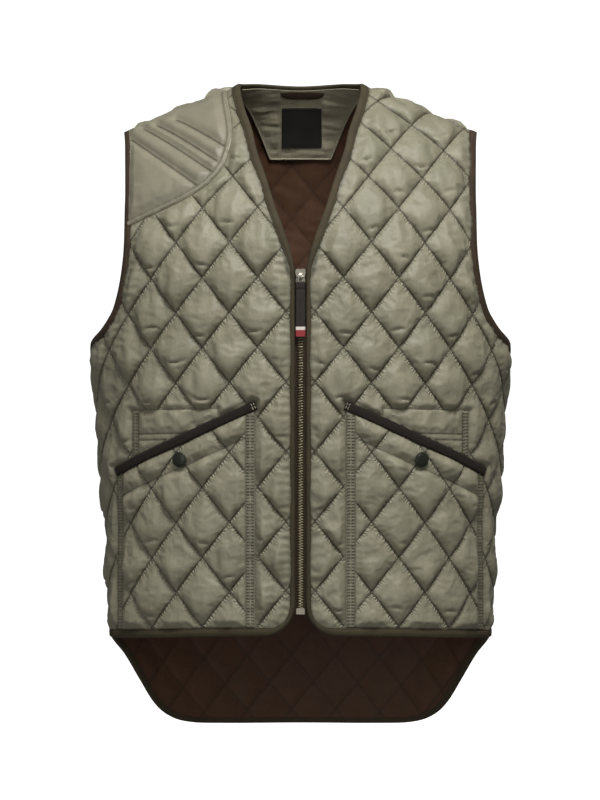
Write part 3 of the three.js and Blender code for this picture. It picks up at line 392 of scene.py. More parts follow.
class Pattern:
    """The flat pattern of the vest, one half of each front and the whole back."""

    widths = Widths()
    neck_x = 66.3
    shoulder_x = 197.0
    back_neck_v = 312.0
    underarm_v = 5.0
    hem_v = HEM - RISE + SEAM_START
    tail_start_v = -308.0
    corner = 34.0
    neckline = (
        (6, 82.7), (10.7, 104), (17.7, 126), (25.3, 147), (33.4, 170),
        (43.1, 194), (54.5, 220), (64, 247), (77.6, 278), (91.5, 317),
    )
    front_armhole = (
        (277, 12), (249, 22), (233.6, 33), (224.5, 43), (215.5, 64), (210.2, 86),
        (207, 107), (205.4, 135), (204.4, 164), (206, 190), (208.4, 214), (211.4, 238),
    )
    back_armhole = (
        (264, 12), (244, 22), (227, 37), (209, 69), (200, 108),
        (198.5, 135), (198, 160), (198.5, 188), (199.5, 212), (200.6, 238),
    )
    tail_rows = (
        (243, -317.8), (223.7, -331), (211.9, -343.3), (194.2, -368), (177.4, -393),
        (166, -405.7), (155, -413.8), (142.5, -419.7), (122.9, -424.5), (92, -427.5),
        (62, -429.2), (31, -430), (0, -430.2),
    )

    def __init__(self) -> None:
        """Works out every edge of the pattern."""
        up, out = np.array([0.0, 1.0]), np.array([1.0, 0.0])
        top = FRONT.ridge_at(self.neck_x)
        seam = toward(top, FRONT.ridge_at(self.neck_x + 6))
        self.neck = Edge.through([*self.neckline, top], -1, out, seam)
        self.front_edge = self._front_edge(up, out)
        self.front_arm = self._armhole(FRONT, self.front_armhole)
        self.back_arm = self._armhole(BACK, self.back_armhole)
        end = BACK.ridge_at(self.neck_x)
        turn = np.linspace(math.pi / 2, -math.pi / 2, 37)
        drop = self.back_neck_v - end[1]
        rows = np.stack([self.neck_x * np.sin(turn), end[1] + drop * np.cos(turn)], axis=1)
        seam = toward(end, BACK.ridge_at(self.neck_x + 6))
        self.back_neck = Edge.through(rows, 1, seam, seam * np.array([-1, 1]))
        half = [(BACK.side_length(self.tail_start_v) - 0.3, self.tail_start_v), *self.tail_rows]
        other = [(-u, v) for u, v in reversed(half[:-1])]
        self.tail = Edge.through([*half, *other], -1)

    def _front_edge(self, up: Array, out: Array) -> Edge:
        """Front edge from the top of the zip, round the corner and along the hem."""
        top_u, top_v = self.neckline[0]
        centre = np.array([top_u + self.corner, self.hem_v + self.corner])
        turns = np.linspace(math.pi, 1.5 * math.pi, 9)
        arc = centre + self.corner * np.stack([np.cos(turns), np.sin(turns)], axis=1)
        down = [(top_u, v) for v in np.linspace(top_v, arc[0][1], 14)[:-1]]
        end_u = FRONT.side_length(self.hem_v) - 0.3
        along = [(u, self.hem_v) for u in np.linspace(arc[-1][0], end_u, 10)[1:]]
        return Edge.through([*down, *arc, *along], 1, out, up)

    def _armhole(self, half: Half, rows: Sequence[Sequence[float]]) -> Edge:
        """Armhole of a half, from the underarm up to the shoulder."""
        end = half.ridge_at(self.shoulder_x)
        seam = toward(end, half.ridge_at(self.shoulder_x - 6))
        start = (half.side_length(self.underarm_v), self.underarm_v)
        return Edge.through([start, *rows, end], 1, np.array([0.0, -1.0]), seam)

    def neck_width(self) -> Array:
        """Width of the neck binding at each point of the front's neckline."""
        past = self.neck.points[:, 1] - self.neck.points[0, 1]
        return self.widths.front + (self.widths.neck - self.widths.front) * smooth_step(past / 40)

    def edge_width(self) -> Array:
        """Width of the front binding at each point of the front edge."""
        past = self.front_edge.points[:, 0] - self.front_edge.points[0, 0] - 2
        return self.widths.front + (self.widths.hem - self.widths.front) * smooth_step(past / 30)

    def side_seam(self, half: Half, low: float, high: float) -> Array:
        """Points of a side seam, from its low end up."""
        return np.array([(half.side_length(v) - 0.3, v) for v in np.arange(low, high, 4.0)])

    def shoulder_seam(self, half: Half, start_x: float, end_x: float) -> Array:
        """Points of a shoulder seam between two distances from the centre plane."""
        places = np.linspace(start_x, end_x, 34)
        return np.array([half.ridge_at(x) - np.array([0, 0.3]) for x in places])

    def front_outline(self) -> Array:
        """Outline of the front's cloth, tucked a little under its bindings."""
        tuck = self.widths.tuck
        neck = self.neck.shifted(self.neck_width() - tuck)
        edge = self.front_edge.shifted(self.edge_width() - tuck)
        arm = self.front_arm.shifted(self.widths.armhole - tuck)
        side = self.side_seam(FRONT, edge[-1, 1] + 4, arm[0, 1] - 2)
        shoulder = self.shoulder_seam(FRONT, self.shoulder_x - 7, self.neck_x + 8)
        return joined([neck[::-1], edge, side, arm, shoulder])

    def back_outline(self) -> Array:
        """Outline of the back's cloth, tucked a little under its bindings."""
        tuck = self.widths.tuck
        flip = np.array([-1, 1])
        neck = self.back_neck.shifted(self.widths.neck - tuck)
        arm = self.back_arm.shifted(self.widths.armhole - tuck)
        tail = self.tail.shifted(self.widths.tail - tuck)
        side = self.side_seam(BACK, tail[0, 1] + 6, arm[0, 1] - 2)
        shoulder = self.shoulder_seam(BACK, self.neck_x + 8, self.shoulder_x - 7)
        other = [shoulder * flip, arm[::-1] * flip, side[::-1] * flip]
        return joined([neck, *other, tail[::-1], side, arm, shoulder[::-1]])


def joined(runs: Sequence[Array], least: float = 0.7) -> Array:
    """One closed outline from runs of points, without points that nearly meet."""
    points = np.concatenate(runs)
    kept = [points[0]]
    for point in points[1:]:
        if np.linalg.norm(point - kept[-1]) > least:
            kept.append(point)
    while np.linalg.norm(kept[-1] - kept[0]) < least:
        kept.pop()
    return np.array(kept)


PATTERN = Pattern()


# Cutting flat cloth and filling it out.


@dataclass(frozen=True)
class Quilt:
    """Diamond quilting: size of a diamond, place where its lines start, and share of it that sags."""

    width: float = 61.0
    height: float = 75.2
    start: float = 15.6
    row: float = -37.6
    sag: float = 0.31

    def cross(self, flat: Array) -> tuple[Array, Array]:
        """Place across both sets of lines, which run where it is a whole number."""
        a = (flat[:, 0] - self.start) / self.width
        b = (flat[:, 1] - self.row) / self.height
        return a + b, a - b

    def flat(self, p: Array, q: Array) -> Array:
        """The u and v of a place across both sets of lines."""
        u = self.start + self.width * (p + q) / 2
        return np.stack([u, self.row + self.height * (p - q) / 2], axis=1)

    @property
    def spacing(self) -> float:
        """Distance between two lines of a set."""
        return self.width * self.height / math.hypot(self.width, self.height)

    def puff(self, flat: Array) -> Array:
        """Share of the full puff: none on the lines, steep above them and gentle below."""
        p, q = self.cross(flat)
        share = np.ones(len(flat))
        for above in (p - np.floor(p), 1 - (q - np.floor(q))):
            low = np.sqrt(np.clip(1 - (1 - above / self.sag) ** 2, 0, 1))
            high = 1 - (np.clip(above - self.sag, 0, 1) / (1 - self.sag)) ** 2.1
            share *= np.where(above < self.sag, low, high)
        return share

    def creases(self, flat: Array, seed: int) -> Array:
        """Depth from 0 to 1 of the short bowed creases low in some of the diamonds."""
        p, q = self.cross(flat)
        cell_p, cell_q = np.floor(p), np.floor(q)
        u = self.width * ((p - cell_p) + (q - cell_q) - 1) / 2
        v = self.height * ((p - cell_p) - (q - cell_q) + 1) / 2
        kinds, often, across = 97, 0.62, 1.7
        chance = np.random.default_rng(seed).uniform(0, 1, (6, kinds))
        kind = ((cell_p * 31 + cell_q * 17) % kinds).astype(int)
        there, level, bow, reach, lean, aside = (row[kind] for row in chance)
        u = u - 10 * (aside - 0.5)
        arc = 11 + 12 * level + (bow - 0.6) * 0.05 * u * u + (lean - 0.5) * 0.5 * u
        wide = 6 + 5 * reach
        ends = np.clip(1 - (u / wide) ** 2, 0, 1)
        return np.where(there < often, np.exp(-(((v - arc) / across) ** 2)) * ends, 0)

    def distance(self, flat: Array) -> Array:
        """Distance to the nearest line."""
        p, q = self.cross(flat)
        nearest = np.minimum(np.abs(p - np.round(p)), np.abs(q - np.round(q)))
        return nearest * self.spacing

    def lines(self, outline: Array, step: float, margin: float) -> list[Array]:
        """The stitched lines inside an outline.

        Args:
            outline: The outline of the cloth.
            step: About how far apart their points are.
            margin: How far the lines stay off the outline.

        Returns:
            Runs of points, with shared points where lines cross.
        """
        p, q = self.cross(outline)
        side = math.hypot(self.width, self.height) / 2
        parts = max(2, int(round(side / step)))
        runs = []
        for first, second, turned in ((p, q, False), (q, p, True)):
            for k in range(math.ceil(first.min()), math.floor(first.max()) + 1):
                low, high = math.floor(second.min()) - 1, math.ceil(second.max()) + 1
                other = np.arange(low * parts, high * parts + 1) / parts
                fixed = np.full_like(other, k)
                points = self.flat(other, fixed) if turned else self.flat(fixed, other)
                keep = inside(outline, points)
                keep[keep] = off_outline(outline, points[keep]) > margin
                runs += split_where(points, keep)
        return runs


def split_where(run: Array, keep: Array) -> list[Array]:
    """Parts of a run whose points are kept."""
    parts = np.split(np.arange(len(run)), np.where(np.diff(keep.astype(int)) != 0)[0] + 1)
    return [run[part] for part in parts if keep[part[0]] and len(part) > 1]


def inside(outline: Array, points: Array) -> Array:
    """Whether each point lies inside an outline."""
    x0, y0 = outline[:, 0], outline[:, 1]
    x1, y1 = np.roll(x0, -1), np.roll(y0, -1)
    result = np.zeros(len(points), bool)
    for part in np.array_split(np.arange(len(points)), max(1, len(points) // 8000 + 1)):
        px, py = points[part, 0:1], points[part, 1:2]
        crosses = (y0 > py) != (y1 > py)
        rise = np.where(y1 == y0, 1.0, y1 - y0)
        at = x0 + (py - y0) * (x1 - x0) / rise
        result[part] = (np.sum(crosses & (px < at), axis=1) % 2) == 1
    return result


def off_path(path: Array, points: Array, ring: bool = False) -> Array:
    """Distance from each point to a path."""
    start = path if ring else path[:-1]
    end = np.roll(path, -1, axis=0) if ring else path[1:]
    run = end - start
    square = np.maximum(np.sum(run * run, axis=1), 1e-9)
    nearest = np.full(len(points), np.inf)
    for part in np.array_split(np.arange(len(points)), max(1, len(points) // 6000 + 1)):
        gap = points[part, None, :] - start[None, :, :]
        t = np.clip(np.sum(gap * run, axis=2) / square, 0, 1)
        nearest[part] = np.sqrt(np.min(np.sum((gap - t[:, :, None] * run) ** 2, axis=2), axis=1))
    return nearest


def off_outline(outline: Array, points: Array) -> Array:
    """Distance from each point to an outline."""
    return off_path(outline, points, ring=True)


@dataclass
class Cloth:
    """Flat cloth cut into triangles."""

    flat: Array
    triangles: Array

    @classmethod
    def cut(cls, outline: Array, seams: Sequence[Array], spacing: float) -> "Cloth":
        """Cuts cloth to an outline, with points along its seams.

        Args:
            outline: The outline, in order.
            seams: Runs of points that triangles must follow.
            spacing: About how far apart the points are.

        Returns:
            The cloth.
        """
        fixed, edges = cls._lines(outline, seams)
        tree = KDTree(len(fixed))
        for k, (u, v) in enumerate(fixed):
            tree.insert((u, v, 0), k)
        tree.balance()
        low, high = outline.min(axis=0), outline.max(axis=0)
        rows = np.arange(low[1], high[1], spacing * 0.866)
        places = np.arange(low[0], high[0], spacing)
        shifts = np.arange(len(rows)) % 2 * spacing / 2
        across = (places[None, :] + shifts[:, None]).ravel()
        lattice = np.stack([across, np.repeat(rows, len(places))], axis=1)
        lattice = lattice[inside(outline, lattice)]
        near = np.array([tree.find((u, v, 0))[2] for u, v in lattice])
        lattice = lattice[near > 0.6 * spacing]
        coords = [Vector(p) for p in np.concatenate([fixed, lattice])]
        ring = list(range(len(outline)))
        made = delaunay_2d_cdt(coords, edges, [ring], 1, 1e-4, False)
        flat, triangles = np.array([tuple(p) for p in made[0]]), np.array(made[2])
        triangles = triangles[inside(outline, flat[triangles].mean(axis=1))]
        used, triangles = np.unique(triangles, return_inverse=True)
        return cls(flat[used], triangles.reshape(-1, 3))

    @staticmethod
    def _lines(outline: Array, seams: Sequence[Array]) -> tuple[Array, list[tuple[int, int]]]:
        """Points of the outline and the seams, each once, and the edges along the seams."""
        points = [tuple(p) for p in outline]
        known = {(round(u, 3), round(v, 3)): k for k, (u, v) in enumerate(points)}
        edges = []
        for seam in seams:
            last = None
            for u, v in seam.tolist():
                key = (round(u, 3), round(v, 3))
                if key not in known:
                    known[key] = len(points)
                    points.append((u, v))
                if last is not None and last != known[key]:
                    edges.append((last, known[key]))
                last = known[key]
        return np.array(points), edges

    def rim(self) -> Array:
        """Pairs of points along the edge of the cloth, in the order of their triangles."""
        pairs = np.concatenate([self.triangles[:, [k, (k + 1) % 3]] for k in range(3)])
        known = {(a, b) for a, b in pairs.tolist()}
        return np.array([(a, b) for a, b in pairs.tolist() if (b, a) not in known])


@dataclass(frozen=True)
class Filling:
    """How padded cloth is filled out between its stitched lines."""

    pressure: float = 10.0
    stiffness: float = 12.0
    bending: float = 0.8
    slack: float = 0.02
    most_slack: float = 0.12
    frames: int = 12
    farthest: float = 3.4

    def settle(self, spots: Array, triangles: Array, sewn: Array, gathered: Array) -> Array:
        """Fills cloth out with a cloth simulation.

        Args:
            spots: Points of the cloth, in millimetres.
            triangles: Its triangles, facing outward.
            sewn: Points that stay in place.
            gathered: How much spare cloth each point has, from 0 to 1.

        Returns:
            The points after the cloth has settled.
        """
        shape = plain_mesh("filling", spots * MM, triangles)
        piece = bpy.data.objects.new("filling", shape)
        bpy.context.scene.collection.objects.link(piece)
        piece.vertex_groups.new(name="sewn").add(np.nonzero(sewn)[0].tolist(), 1.0, "REPLACE")
        loose = piece.vertex_groups.new(name="gathered")
        for share in range(1, 11):
            members = np.nonzero(np.round(gathered * 10) == share)[0].tolist()
            loose.add(members, share / 10, "REPLACE")
        self._dress(piece)
        scene = bpy.context.scene
        for moment in range(1, self.frames + 1):
            scene.frame_set(moment)
        settled = piece.evaluated_get(bpy.context.evaluated_depsgraph_get())
        result = np.empty(len(spots) * 3, np.float32)
        settled.data.vertices.foreach_get("co", result)
        scene.frame_set(1)
        bpy.data.objects.remove(piece)
        bpy.data.meshes.remove(shape)
        moved = result.reshape(-1, 3) / MM - spots
        far = np.linalg.norm(moved, axis=1, keepdims=True)
        return spots + moved * np.minimum(1, self.farthest / np.maximum(far, 1e-6))

    def _dress(self, piece: bpy.types.Object) -> None:
        """Gives a piece its cloth modifier.

        Args:
            piece: The piece, with its groups of sewn and gathered points.
        """
        cloth = piece.modifiers.new("cloth", "CLOTH")
        values = {
            "quality": 4, "mass": 0.12, "air_damping": 3.0, "tension_stiffness": self.stiffness,
            "compression_stiffness": self.stiffness, "shear_stiffness": self.stiffness * 0.4,
            "bending_stiffness": self.bending, "tension_damping": 6.0, "compression_damping": 6.0,
            "shear_damping": 6.0, "shrink_min": -self.slack, "shrink_max": -self.most_slack,
            "vertex_group_shrink": "gathered", "vertex_group_mass": "sewn", "use_pressure": True,
            "uniform_pressure_force": self.pressure,
        }
        for key, value in values.items():
            setattr(cloth.settings, key, value)
        cloth.settings.effector_weights.gravity = 0.0
        cloth.collision_settings.use_collision = False
        cloth.point_cache.frame_start = 1
        cloth.point_cache.frame_end = self.frames + 1


def plain_mesh(name: str, spots: Array, faces: Array) -> bpy.types.Mesh:
    """A mesh from points and faces of one size."""
    mesh = bpy.data.meshes.new(name)
    faces = np.asarray(faces, np.int32)
    size = faces.shape[1]
    mesh.vertices.add(len(spots))
    mesh.vertices.foreach_set("co", np.asarray(spots, np.float32).ravel())
    mesh.loops.add(faces.size)
    mesh.loops.foreach_set("vertex_index", faces.ravel())
    mesh.polygons.add(len(faces))
    mesh.polygons.foreach_set("loop_start", np.arange(0, faces.size, size, dtype=np.int32))
    mesh.update(calc_edges=True)
    mesh.validate()
    return mesh


def put(name: str, mesh: bpy.types.Mesh) -> bpy.types.Object:
    """Adds a mesh to the scene as a piece."""
    piece = bpy.data.objects.new(name, mesh)
    bpy.context.scene.collection.objects.link(piece)
    return piece


def sharpen(mesh: bpy.types.Mesh, degrees: float) -> None:
    """Shades a mesh smoothly, but for edges sharper than an angle."""
    mesh.shade_smooth()
    mesh.set_sharp_from_angle(angle=math.radians(degrees))


def outward_faces(mesh: bpy.types.Mesh) -> None:
    """Turns a closed mesh's faces outward, by the sign of its volume."""
    mesh.calc_loop_triangles()
    corners = np.empty(len(mesh.loop_triangles) * 3, np.int32)
    mesh.loop_triangles.foreach_get("vertices", corners)
    points = np.empty(len(mesh.vertices) * 3, np.float32)
    mesh.vertices.foreach_get("co", points)
    a, b, c = points.reshape(-1, 3).astype(float)[corners.reshape(-1, 3)].transpose(1, 0, 2)
    if np.sum(a * np.cross(b, c)) < 0:
        mesh.flip_normals()


def ordered(rim: Array) -> Array:
    """The longest closed loop of points from the pairs along an edge."""
    after = {int(a): int(b) for a, b in rim}
    loops = []
    while after:
        start = next(iter(after))
        loop, here = [start], after.pop(start)
        while here != start and here in after:
            loop.append(here)
            here = after.pop(here)
        loops.append(np.array(loop))
    return max(loops, key=len)


def level(height: float) -> Callable[[Array], Array]:
    """A height that is the same at every place."""
    return lambda places: np.full(len(places), height)


@dataclass
class Sheets:
    """A closed piece of cloth: a worked face, and a plainer face behind it."""

    half: Half
    cloth: Cloth
    back_height: Callable[[Array], Array]
    spacing: float = 7.0
    mirror: bool = False
    inward: bool = False

    def build(
        self, name: str, spots: Array, groove_shade: Array | float = 0.0,
        quilted: Array | float = 0.0,
    ) -> bpy.types.Object:
        """Makes the piece.

        Args:
            name: Name of the piece.
            spots: Points of its worked face, in millimetres.
            groove_shade: How much painted shade each of those points gets, in the sewn grooves or beside
                held edges, from 0 to 1.
            quilted: How much of the painted shade, painted highlight and pucker relief of the stitched
                diamonds shows at each of them, from 0 to 1.

        Returns:
            The piece, with its pattern as its UV map and its two faces as materials 0 and 1.
        """
        worked = self.cloth
        loop = ordered(worked.rim())
        plain = Cloth.cut(worked.flat[loop], [], self.spacing)
        known = {(round(u, 2), round(v, 2)): k for k, (u, v) in enumerate(plain.flat.tolist())}
        keys = [(round(u, 2), round(v, 2)) for u, v in worked.flat[loop].tolist()]
        partner = np.array([known[key] for key in keys]) + len(spots)
        behind = self.half.place(plain.flat, self.back_height(plain.flat))
        after, partner_after = np.roll(loop, -1), np.roll(partner, -1)
        walls = [np.stack([loop, partner, partner_after], 1), np.stack([loop, partner_after, after], 1)]
        faces = np.concatenate([worked.triangles, plain.triangles[:, ::-1] + len(spots), *walls])
        points = np.concatenate([spots, behind])
        flat = np.concatenate([worked.flat, plain.flat])
        if self.mirror:
            points = points * np.array([-1, 1, 1])
        if (self.half.facing > 0) != self.mirror != self.inward:
            faces = faces[:, ::-1]
        mesh = plain_mesh(name, points * MM, faces)
        kinds = np.zeros(len(faces), np.int32)
        kinds[len(worked.triangles): len(worked.triangles) + len(plain.triangles)] = 1
        mesh.polygons.foreach_set("material_index", kinds)
        corners = np.empty(len(mesh.loops), np.int32)
        mesh.loops.foreach_get("vertex_index", corners)
        layer = mesh.uv_layers.new(name="pattern")
        layer.data.foreach_set("uv", (flat[corners] * MM).astype(np.float32).ravel())
        # Stores the painted shade, and the mask for the stitched diamonds' painted shade and highlight, for
        # the material.
        for key, values in (("groove_shade", groove_shade), ("quilted", quilted)):
            stored = mesh.attributes.new(key, "FLOAT", "POINT")
            shown = np.zeros(len(points), np.float32)
            shown[: len(spots)] = values
            stored.data.foreach_set("value", shown)
        sharpen(mesh, 55)
        return put(name, mesh)


def swept(name: str, rings: Array, closed: bool = False) -> bpy.types.Object:
    """A tube through rings of points, with capped ends.

    Args:
        name: Name of the piece.
        rings: Sections, each a ring of points in millimetres.
        closed: Whether the last section joins the first.

    Returns:
        The piece, with length and place round it as its UV map, in metres.
    """
    count, sides, _ = rings.shape
    centres = rings.mean(axis=1)
    run = run_of(np.concatenate([centres, centres[:1]])) * MM
    girth = run_of(np.concatenate([rings[0], rings[0][:1]])) * MM
    last = count if closed else count - 1
    k, s = np.arange(last)[:, None], np.arange(sides)[None, :]
    follow, turn = (k + 1) % count, (s + 1) % sides
    corners = (k * sides + s, k * sides + turn, follow * sides + turn, follow * sides + s)
    quads = np.stack(np.broadcast_arrays(*corners), 2)
    faces = [tuple(q) for q in quads.reshape(-1, 4).tolist()]
    if not closed:
        faces += [tuple(range(sides - 1, -1, -1)), tuple(range((count - 1) * sides, count * sides))]
    mesh = bpy.data.meshes.new(name)
    mesh.from_pydata((rings.reshape(-1, 3) * MM).tolist(), [], faces)
    along = np.broadcast_arrays(run[k], run[k], run[k + 1], run[k + 1])
    around = np.broadcast_arrays(girth[s], girth[s + 1], girth[s + 1], girth[s])
    places = [np.stack(np.broadcast_arrays(a, b), 2) for a, b in zip(along, around)]
    places = np.stack(places, 2).reshape(-1, 2)
    spare = np.zeros((len(mesh.loops) - len(places), 2))
    layer = mesh.uv_layers.new(name="pattern")
    layer.data.foreach_set("uv", np.concatenate([places, spare]).astype(np.float32).ravel())
    outward_faces(mesh)
    sharpen(mesh, 60)
    return put(name, mesh)


# Finishes.


def _math(operation: str, turned: bool = False) -> Callable[["Number", object], "Number"]:
    """An operator of numbers.

    Args:
        operation: Operation of the Math node that it adds.
        turned: Whether the other value comes first.

    Returns:
        The operator.
    """

    def apply(number: "Number", other: object = 0.0) -> "Number":
        """Adds the Math node."""
        first, second = (other, number) if turned else (number, other)
        return number.shader.number("ShaderNodeMath", {"operation": operation}, {0: first, 1: second})

    return apply


class Number:
    """A number in a material, which sums and products can use."""

    __add__, __radd__ = _math("ADD"), _math("ADD", True)
    __sub__, __rsub__ = _math("SUBTRACT"), _math("SUBTRACT", True)
    __mul__, __rmul__ = _math("MULTIPLY"), _math("MULTIPLY", True)
    __pow__, over = _math("POWER"), _math("GREATER_THAN")
    rounded, wave = _math("ROUND"), _math("SINE")

    def __init__(self, shader: "Shader", socket: bpy.types.NodeSocket) -> None:
        """Wraps a node's output."""
        self.shader = shader
        self.socket = socket

    def held(self) -> "Number":
        """The same number, kept between 0 and 1."""
        settings = {"operation": "ADD", "use_clamp": True}
        return self.shader.number("ShaderNodeMath", settings, {0: self, 1: 0.0})


Colour = tuple[float, float, float]


def linear(colour: Colour) -> tuple[float, float, float, float]:
    """Light of a colour that is given by its screen values from 0 to 255."""
    values = [c / 255 for c in colour]
    light = [v / 12.92 if v <= 0.04045 else ((v + 0.055) / 1.055) ** 2.4 for v in values]
    return (*light, 1.0)


class Nodes:
    """Adds nodes to a tree."""

    def __init__(self, tree: bpy.types.NodeTree) -> None:
        """Takes the tree."""
        self.tree = tree

    def node(self, kind: str, settings: dict[str, object], inputs: dict[object, object]) -> bpy.types.Node:
        """Adds a node.

        Args:
            kind: Type of the node.
            settings: Its settings.
            inputs: Values or links of its sockets.

        Returns:
            The node.
        """
        made = self.tree.nodes.new(kind)
        for key, value in settings.items():
            setattr(made, key, value)
        for key, value in inputs.items():
            self.feed(made.inputs[key], value)
        return made

    def feed(self, socket: bpy.types.NodeSocket, value: object) -> None:
        """Sets a socket to a value, or links it."""
        if isinstance(value, Number):
            value = value.socket
        if isinstance(value, bpy.types.NodeSocket):
            self.tree.links.new(value, socket)
        else:
            socket.default_value = value

    def out(
        self, kind: str, settings: dict[str, object], inputs: dict[object, object], out: object = 0
    ) -> bpy.types.NodeSocket:
        """Adds a node and gives one of its outputs."""
        return self.node(kind, settings, inputs).outputs[out]


class Shader(Nodes):
    """Builds one material."""

    def __init__(self, name: str) -> None:
        """Starts a material with a plain surface."""
        self.material = bpy.data.materials.new(name)
        self.material.use_nodes = True
        super().__init__(self.material.node_tree)
        self.surface = next(n for n in self.tree.nodes if n.type == "BSDF_PRINCIPLED")

    def number(
        self, kind: str, settings: dict[str, object], inputs: dict[object, object], out: object = 0
    ) -> Number:
        """Adds a node and wraps one of its outputs."""
        return Number(self, self.out(kind, settings, inputs, out))

    def object_place(self) -> bpy.types.NodeSocket:
        """Place on the object, in metres."""
        return self.out("ShaderNodeTexCoord", {}, {}, "Object")

    def pattern_place(self) -> bpy.types.NodeSocket:
        """Place on the flat pattern, in metres."""
        return self.out("ShaderNodeUVMap", {"uv_map": "pattern"}, {})

    def stored(self, name: str) -> Number:
        """A number that the piece stores at its points."""
        return self.number("ShaderNodeAttribute", {"attribute_name": name}, {}, "Fac")

    def stretched(self, place: bpy.types.NodeSocket, scale: Colour) -> bpy.types.NodeSocket:
        """A place scaled unevenly."""
        return self.out("ShaderNodeMapping", {}, {"Vector": place, "Scale": scale})

    def part_of(self, place: bpy.types.NodeSocket, axis: int) -> Number:
        """One of the three numbers of a place."""
        return self.number("ShaderNodeSeparateXYZ", {}, {0: place}, axis)

    def noise(
        self, place: bpy.types.NodeSocket, scale: float, detail: float = 2.0, rough: float = 0.5
    ) -> Number:
        """Soft random mottling."""
        inputs = {"Vector": place, "Scale": scale, "Detail": detail, "Roughness": rough}
        return self.number("ShaderNodeTexNoise", {}, inputs)

    def bands(self, place: bpy.types.NodeSocket, direction: str, pitch: float, warp: float = 0.0) -> Number:
        """Even bands across a direction, at a pitch in metres."""
        settings = {"wave_type": "BANDS", "bands_direction": direction, "wave_profile": "SIN"}
        scale = math.pi / (10 * pitch)
        inputs = {"Vector": place, "Scale": scale, "Distortion": warp, "Detail": 1.0, "Detail Scale": 2.0}
        return self.number("ShaderNodeTexWave", settings, inputs, "Fac")

    def blend(self, share: object, first: object, second: object) -> bpy.types.NodeSocket:
        """A colour between two others."""
        return self.out("ShaderNodeMix", {"data_type": "RGBA"}, {0: share, 6: first, 7: second}, 2)

    def relief(
        self, height: Number, depth: float, before: bpy.types.NodeSocket | None = None
    ) -> bpy.types.NodeSocket:
        """Fine relief of a depth in metres, over other relief if there is any."""
        inputs = {"Height": height, "Distance": depth, "Strength": 1.0}
        if before is not None:
            inputs["Normal"] = before
        return self.out("ShaderNodeBump", {}, inputs)

    def finish(self, **sockets: object) -> bpy.types.Material:
        """Feeds the surface and gives the material."""
        for name, value in sockets.items():
            self.feed(self.surface.inputs[name.replace("_", " ")], value)
        return self.material


@dataclass(frozen=True)
class Satin:
    """Smooth, slightly creased nylon with a soft sheen, with painted shade in its grooves and, when quilted,
    a painted highlight below its stitched lines.
    """

    name: str
    # light, mid and dark: the cloth's own tone runs between mid and light, with fine dark specks; light also
    # colours the painted highlight below the stitched lines, and dark the painted shade, whose strength is
    # shade.
    light: Colour
    mid: Colour
    dark: Colour
    roughness: float = 0.5
    crease: float = 0.0009
    quilt: Quilt | None = None
    shade: float = 0.85
    green: Colour = (132, 138, 114)
    greenish: float = 0.4

    def _sewing(self, shader: Shader, flat: bpy.types.NodeSocket) -> tuple[Number, Number]:
        """Finds the stitched lines on the pattern, for the painted shade and painted highlight beside them.

        Args:
            shader: The material.
            flat: Place on the pattern.

        Returns:
            The painted shade on and just above the lines, and the pucker waves just below them, which give
            relief and a painted highlight.
        """
        across = (shader.part_of(flat, 0) - self.quilt.start * MM) * (1 / (self.quilt.width * MM))
        upward = (shader.part_of(flat, 1) - self.quilt.row * MM) * (1 / (self.quilt.height * MM))
        rising, falling = across + upward, upward - across
        uneven, rough = shader.noise(flat, 220.0, 2.0) - 0.5, shader.noise(flat, 130.0, 3.0) - 0.5
        shade, puckers_and_highlight = [], []
        for place, along in ((rising, falling), (falling, rising)):
            off = (place - place.rounded()) * self.quilt.spacing + uneven * 1.1
            # Painted shade on the line and about 2 mm above it, where the puff above hangs over it.
            shade.append((1 - off * 0.5).held() * (1 + off * 1.6).held())
            # Pucker waves in a band about 5 mm below the line, used as relief and as a painted highlight.
            below = (1 + off * 0.2).held() * (off * -1.2 + 0.2).held()
            stitch = (along * (self.quilt.spacing * math.pi / 1.9) + rough * 16.0).wave()
            puckers_and_highlight.append(below * stitch)
        quilted = shader.stored("quilted")
        return (shade[0] + shade[1]).held() * quilted, (puckers_and_highlight[0] + puckers_and_highlight[1]) * quilted

    def material(self) -> bpy.types.Material:
        """Builds the material."""
        shader = Shader(self.name)
        place, flat = shader.object_place(), shader.pattern_place()
        cloud = shader.noise(place, 14.0, 3.0, 0.6)
        patchy = shader.noise(shader.stretched(flat, (1.5, 0.6, 1.0)), 55.0, 4.0, 0.65)
        tone = ((cloud - 0.5) * 1.2 + (patchy - 0.5) * 1.3 + 0.5).held()
        colour = shader.blend(tone, linear(self.mid), linear(self.light))
        green = (shader.noise(place, 21.0, 2.0, 0.5) - 0.42) * (4.0 * self.greenish)
        colour = shader.blend(green.held() * self.greenish, colour, linear(self.green))
        speck = shader.noise(flat, 1100.0, 2.0, 0.7)
        colour = shader.blend(((speck - 0.5) * 0.8 + 0.08).held(), colour, linear(self.dark))
        # Painted shade in the grooves and along held edges, stored at the points of the piece.
        groove_shade = shader.stored("groove_shade") ** 2.0
        creases = shader.noise(shader.stretched(flat, (1.4, 0.5, 1.0)), 95.0, 5.0, 0.62)
        relief = shader.relief(creases, self.crease)
        if self.quilt is not None:
            shade, puckers_and_highlight = self._sewing(shader, flat)
            groove_shade = (groove_shade + shade).held()
            relief = shader.relief(puckers_and_highlight, 0.0006, relief)
            # Painted highlight: the band below each stitched line is lightened toward the light colour.
            colour = shader.blend((puckers_and_highlight * 0.35).held(), colour, linear(self.light))
        # Painted shade: the grooves, the held edges and the band above each stitched line darken toward the
        # dark colour.
        colour = shader.blend(groove_shade * self.shade, colour, linear(self.dark))
        weave = shader.bands(flat, "X", 0.0006) * 0.5 + shader.bands(flat, "Y", 0.0006) * 0.5
        relief = shader.relief(weave, 0.00005, relief)
        rough = self.roughness + (patchy - 0.5) * 0.2
        return shader.finish(Base_Color=colour, Roughness=rough, Normal=relief)


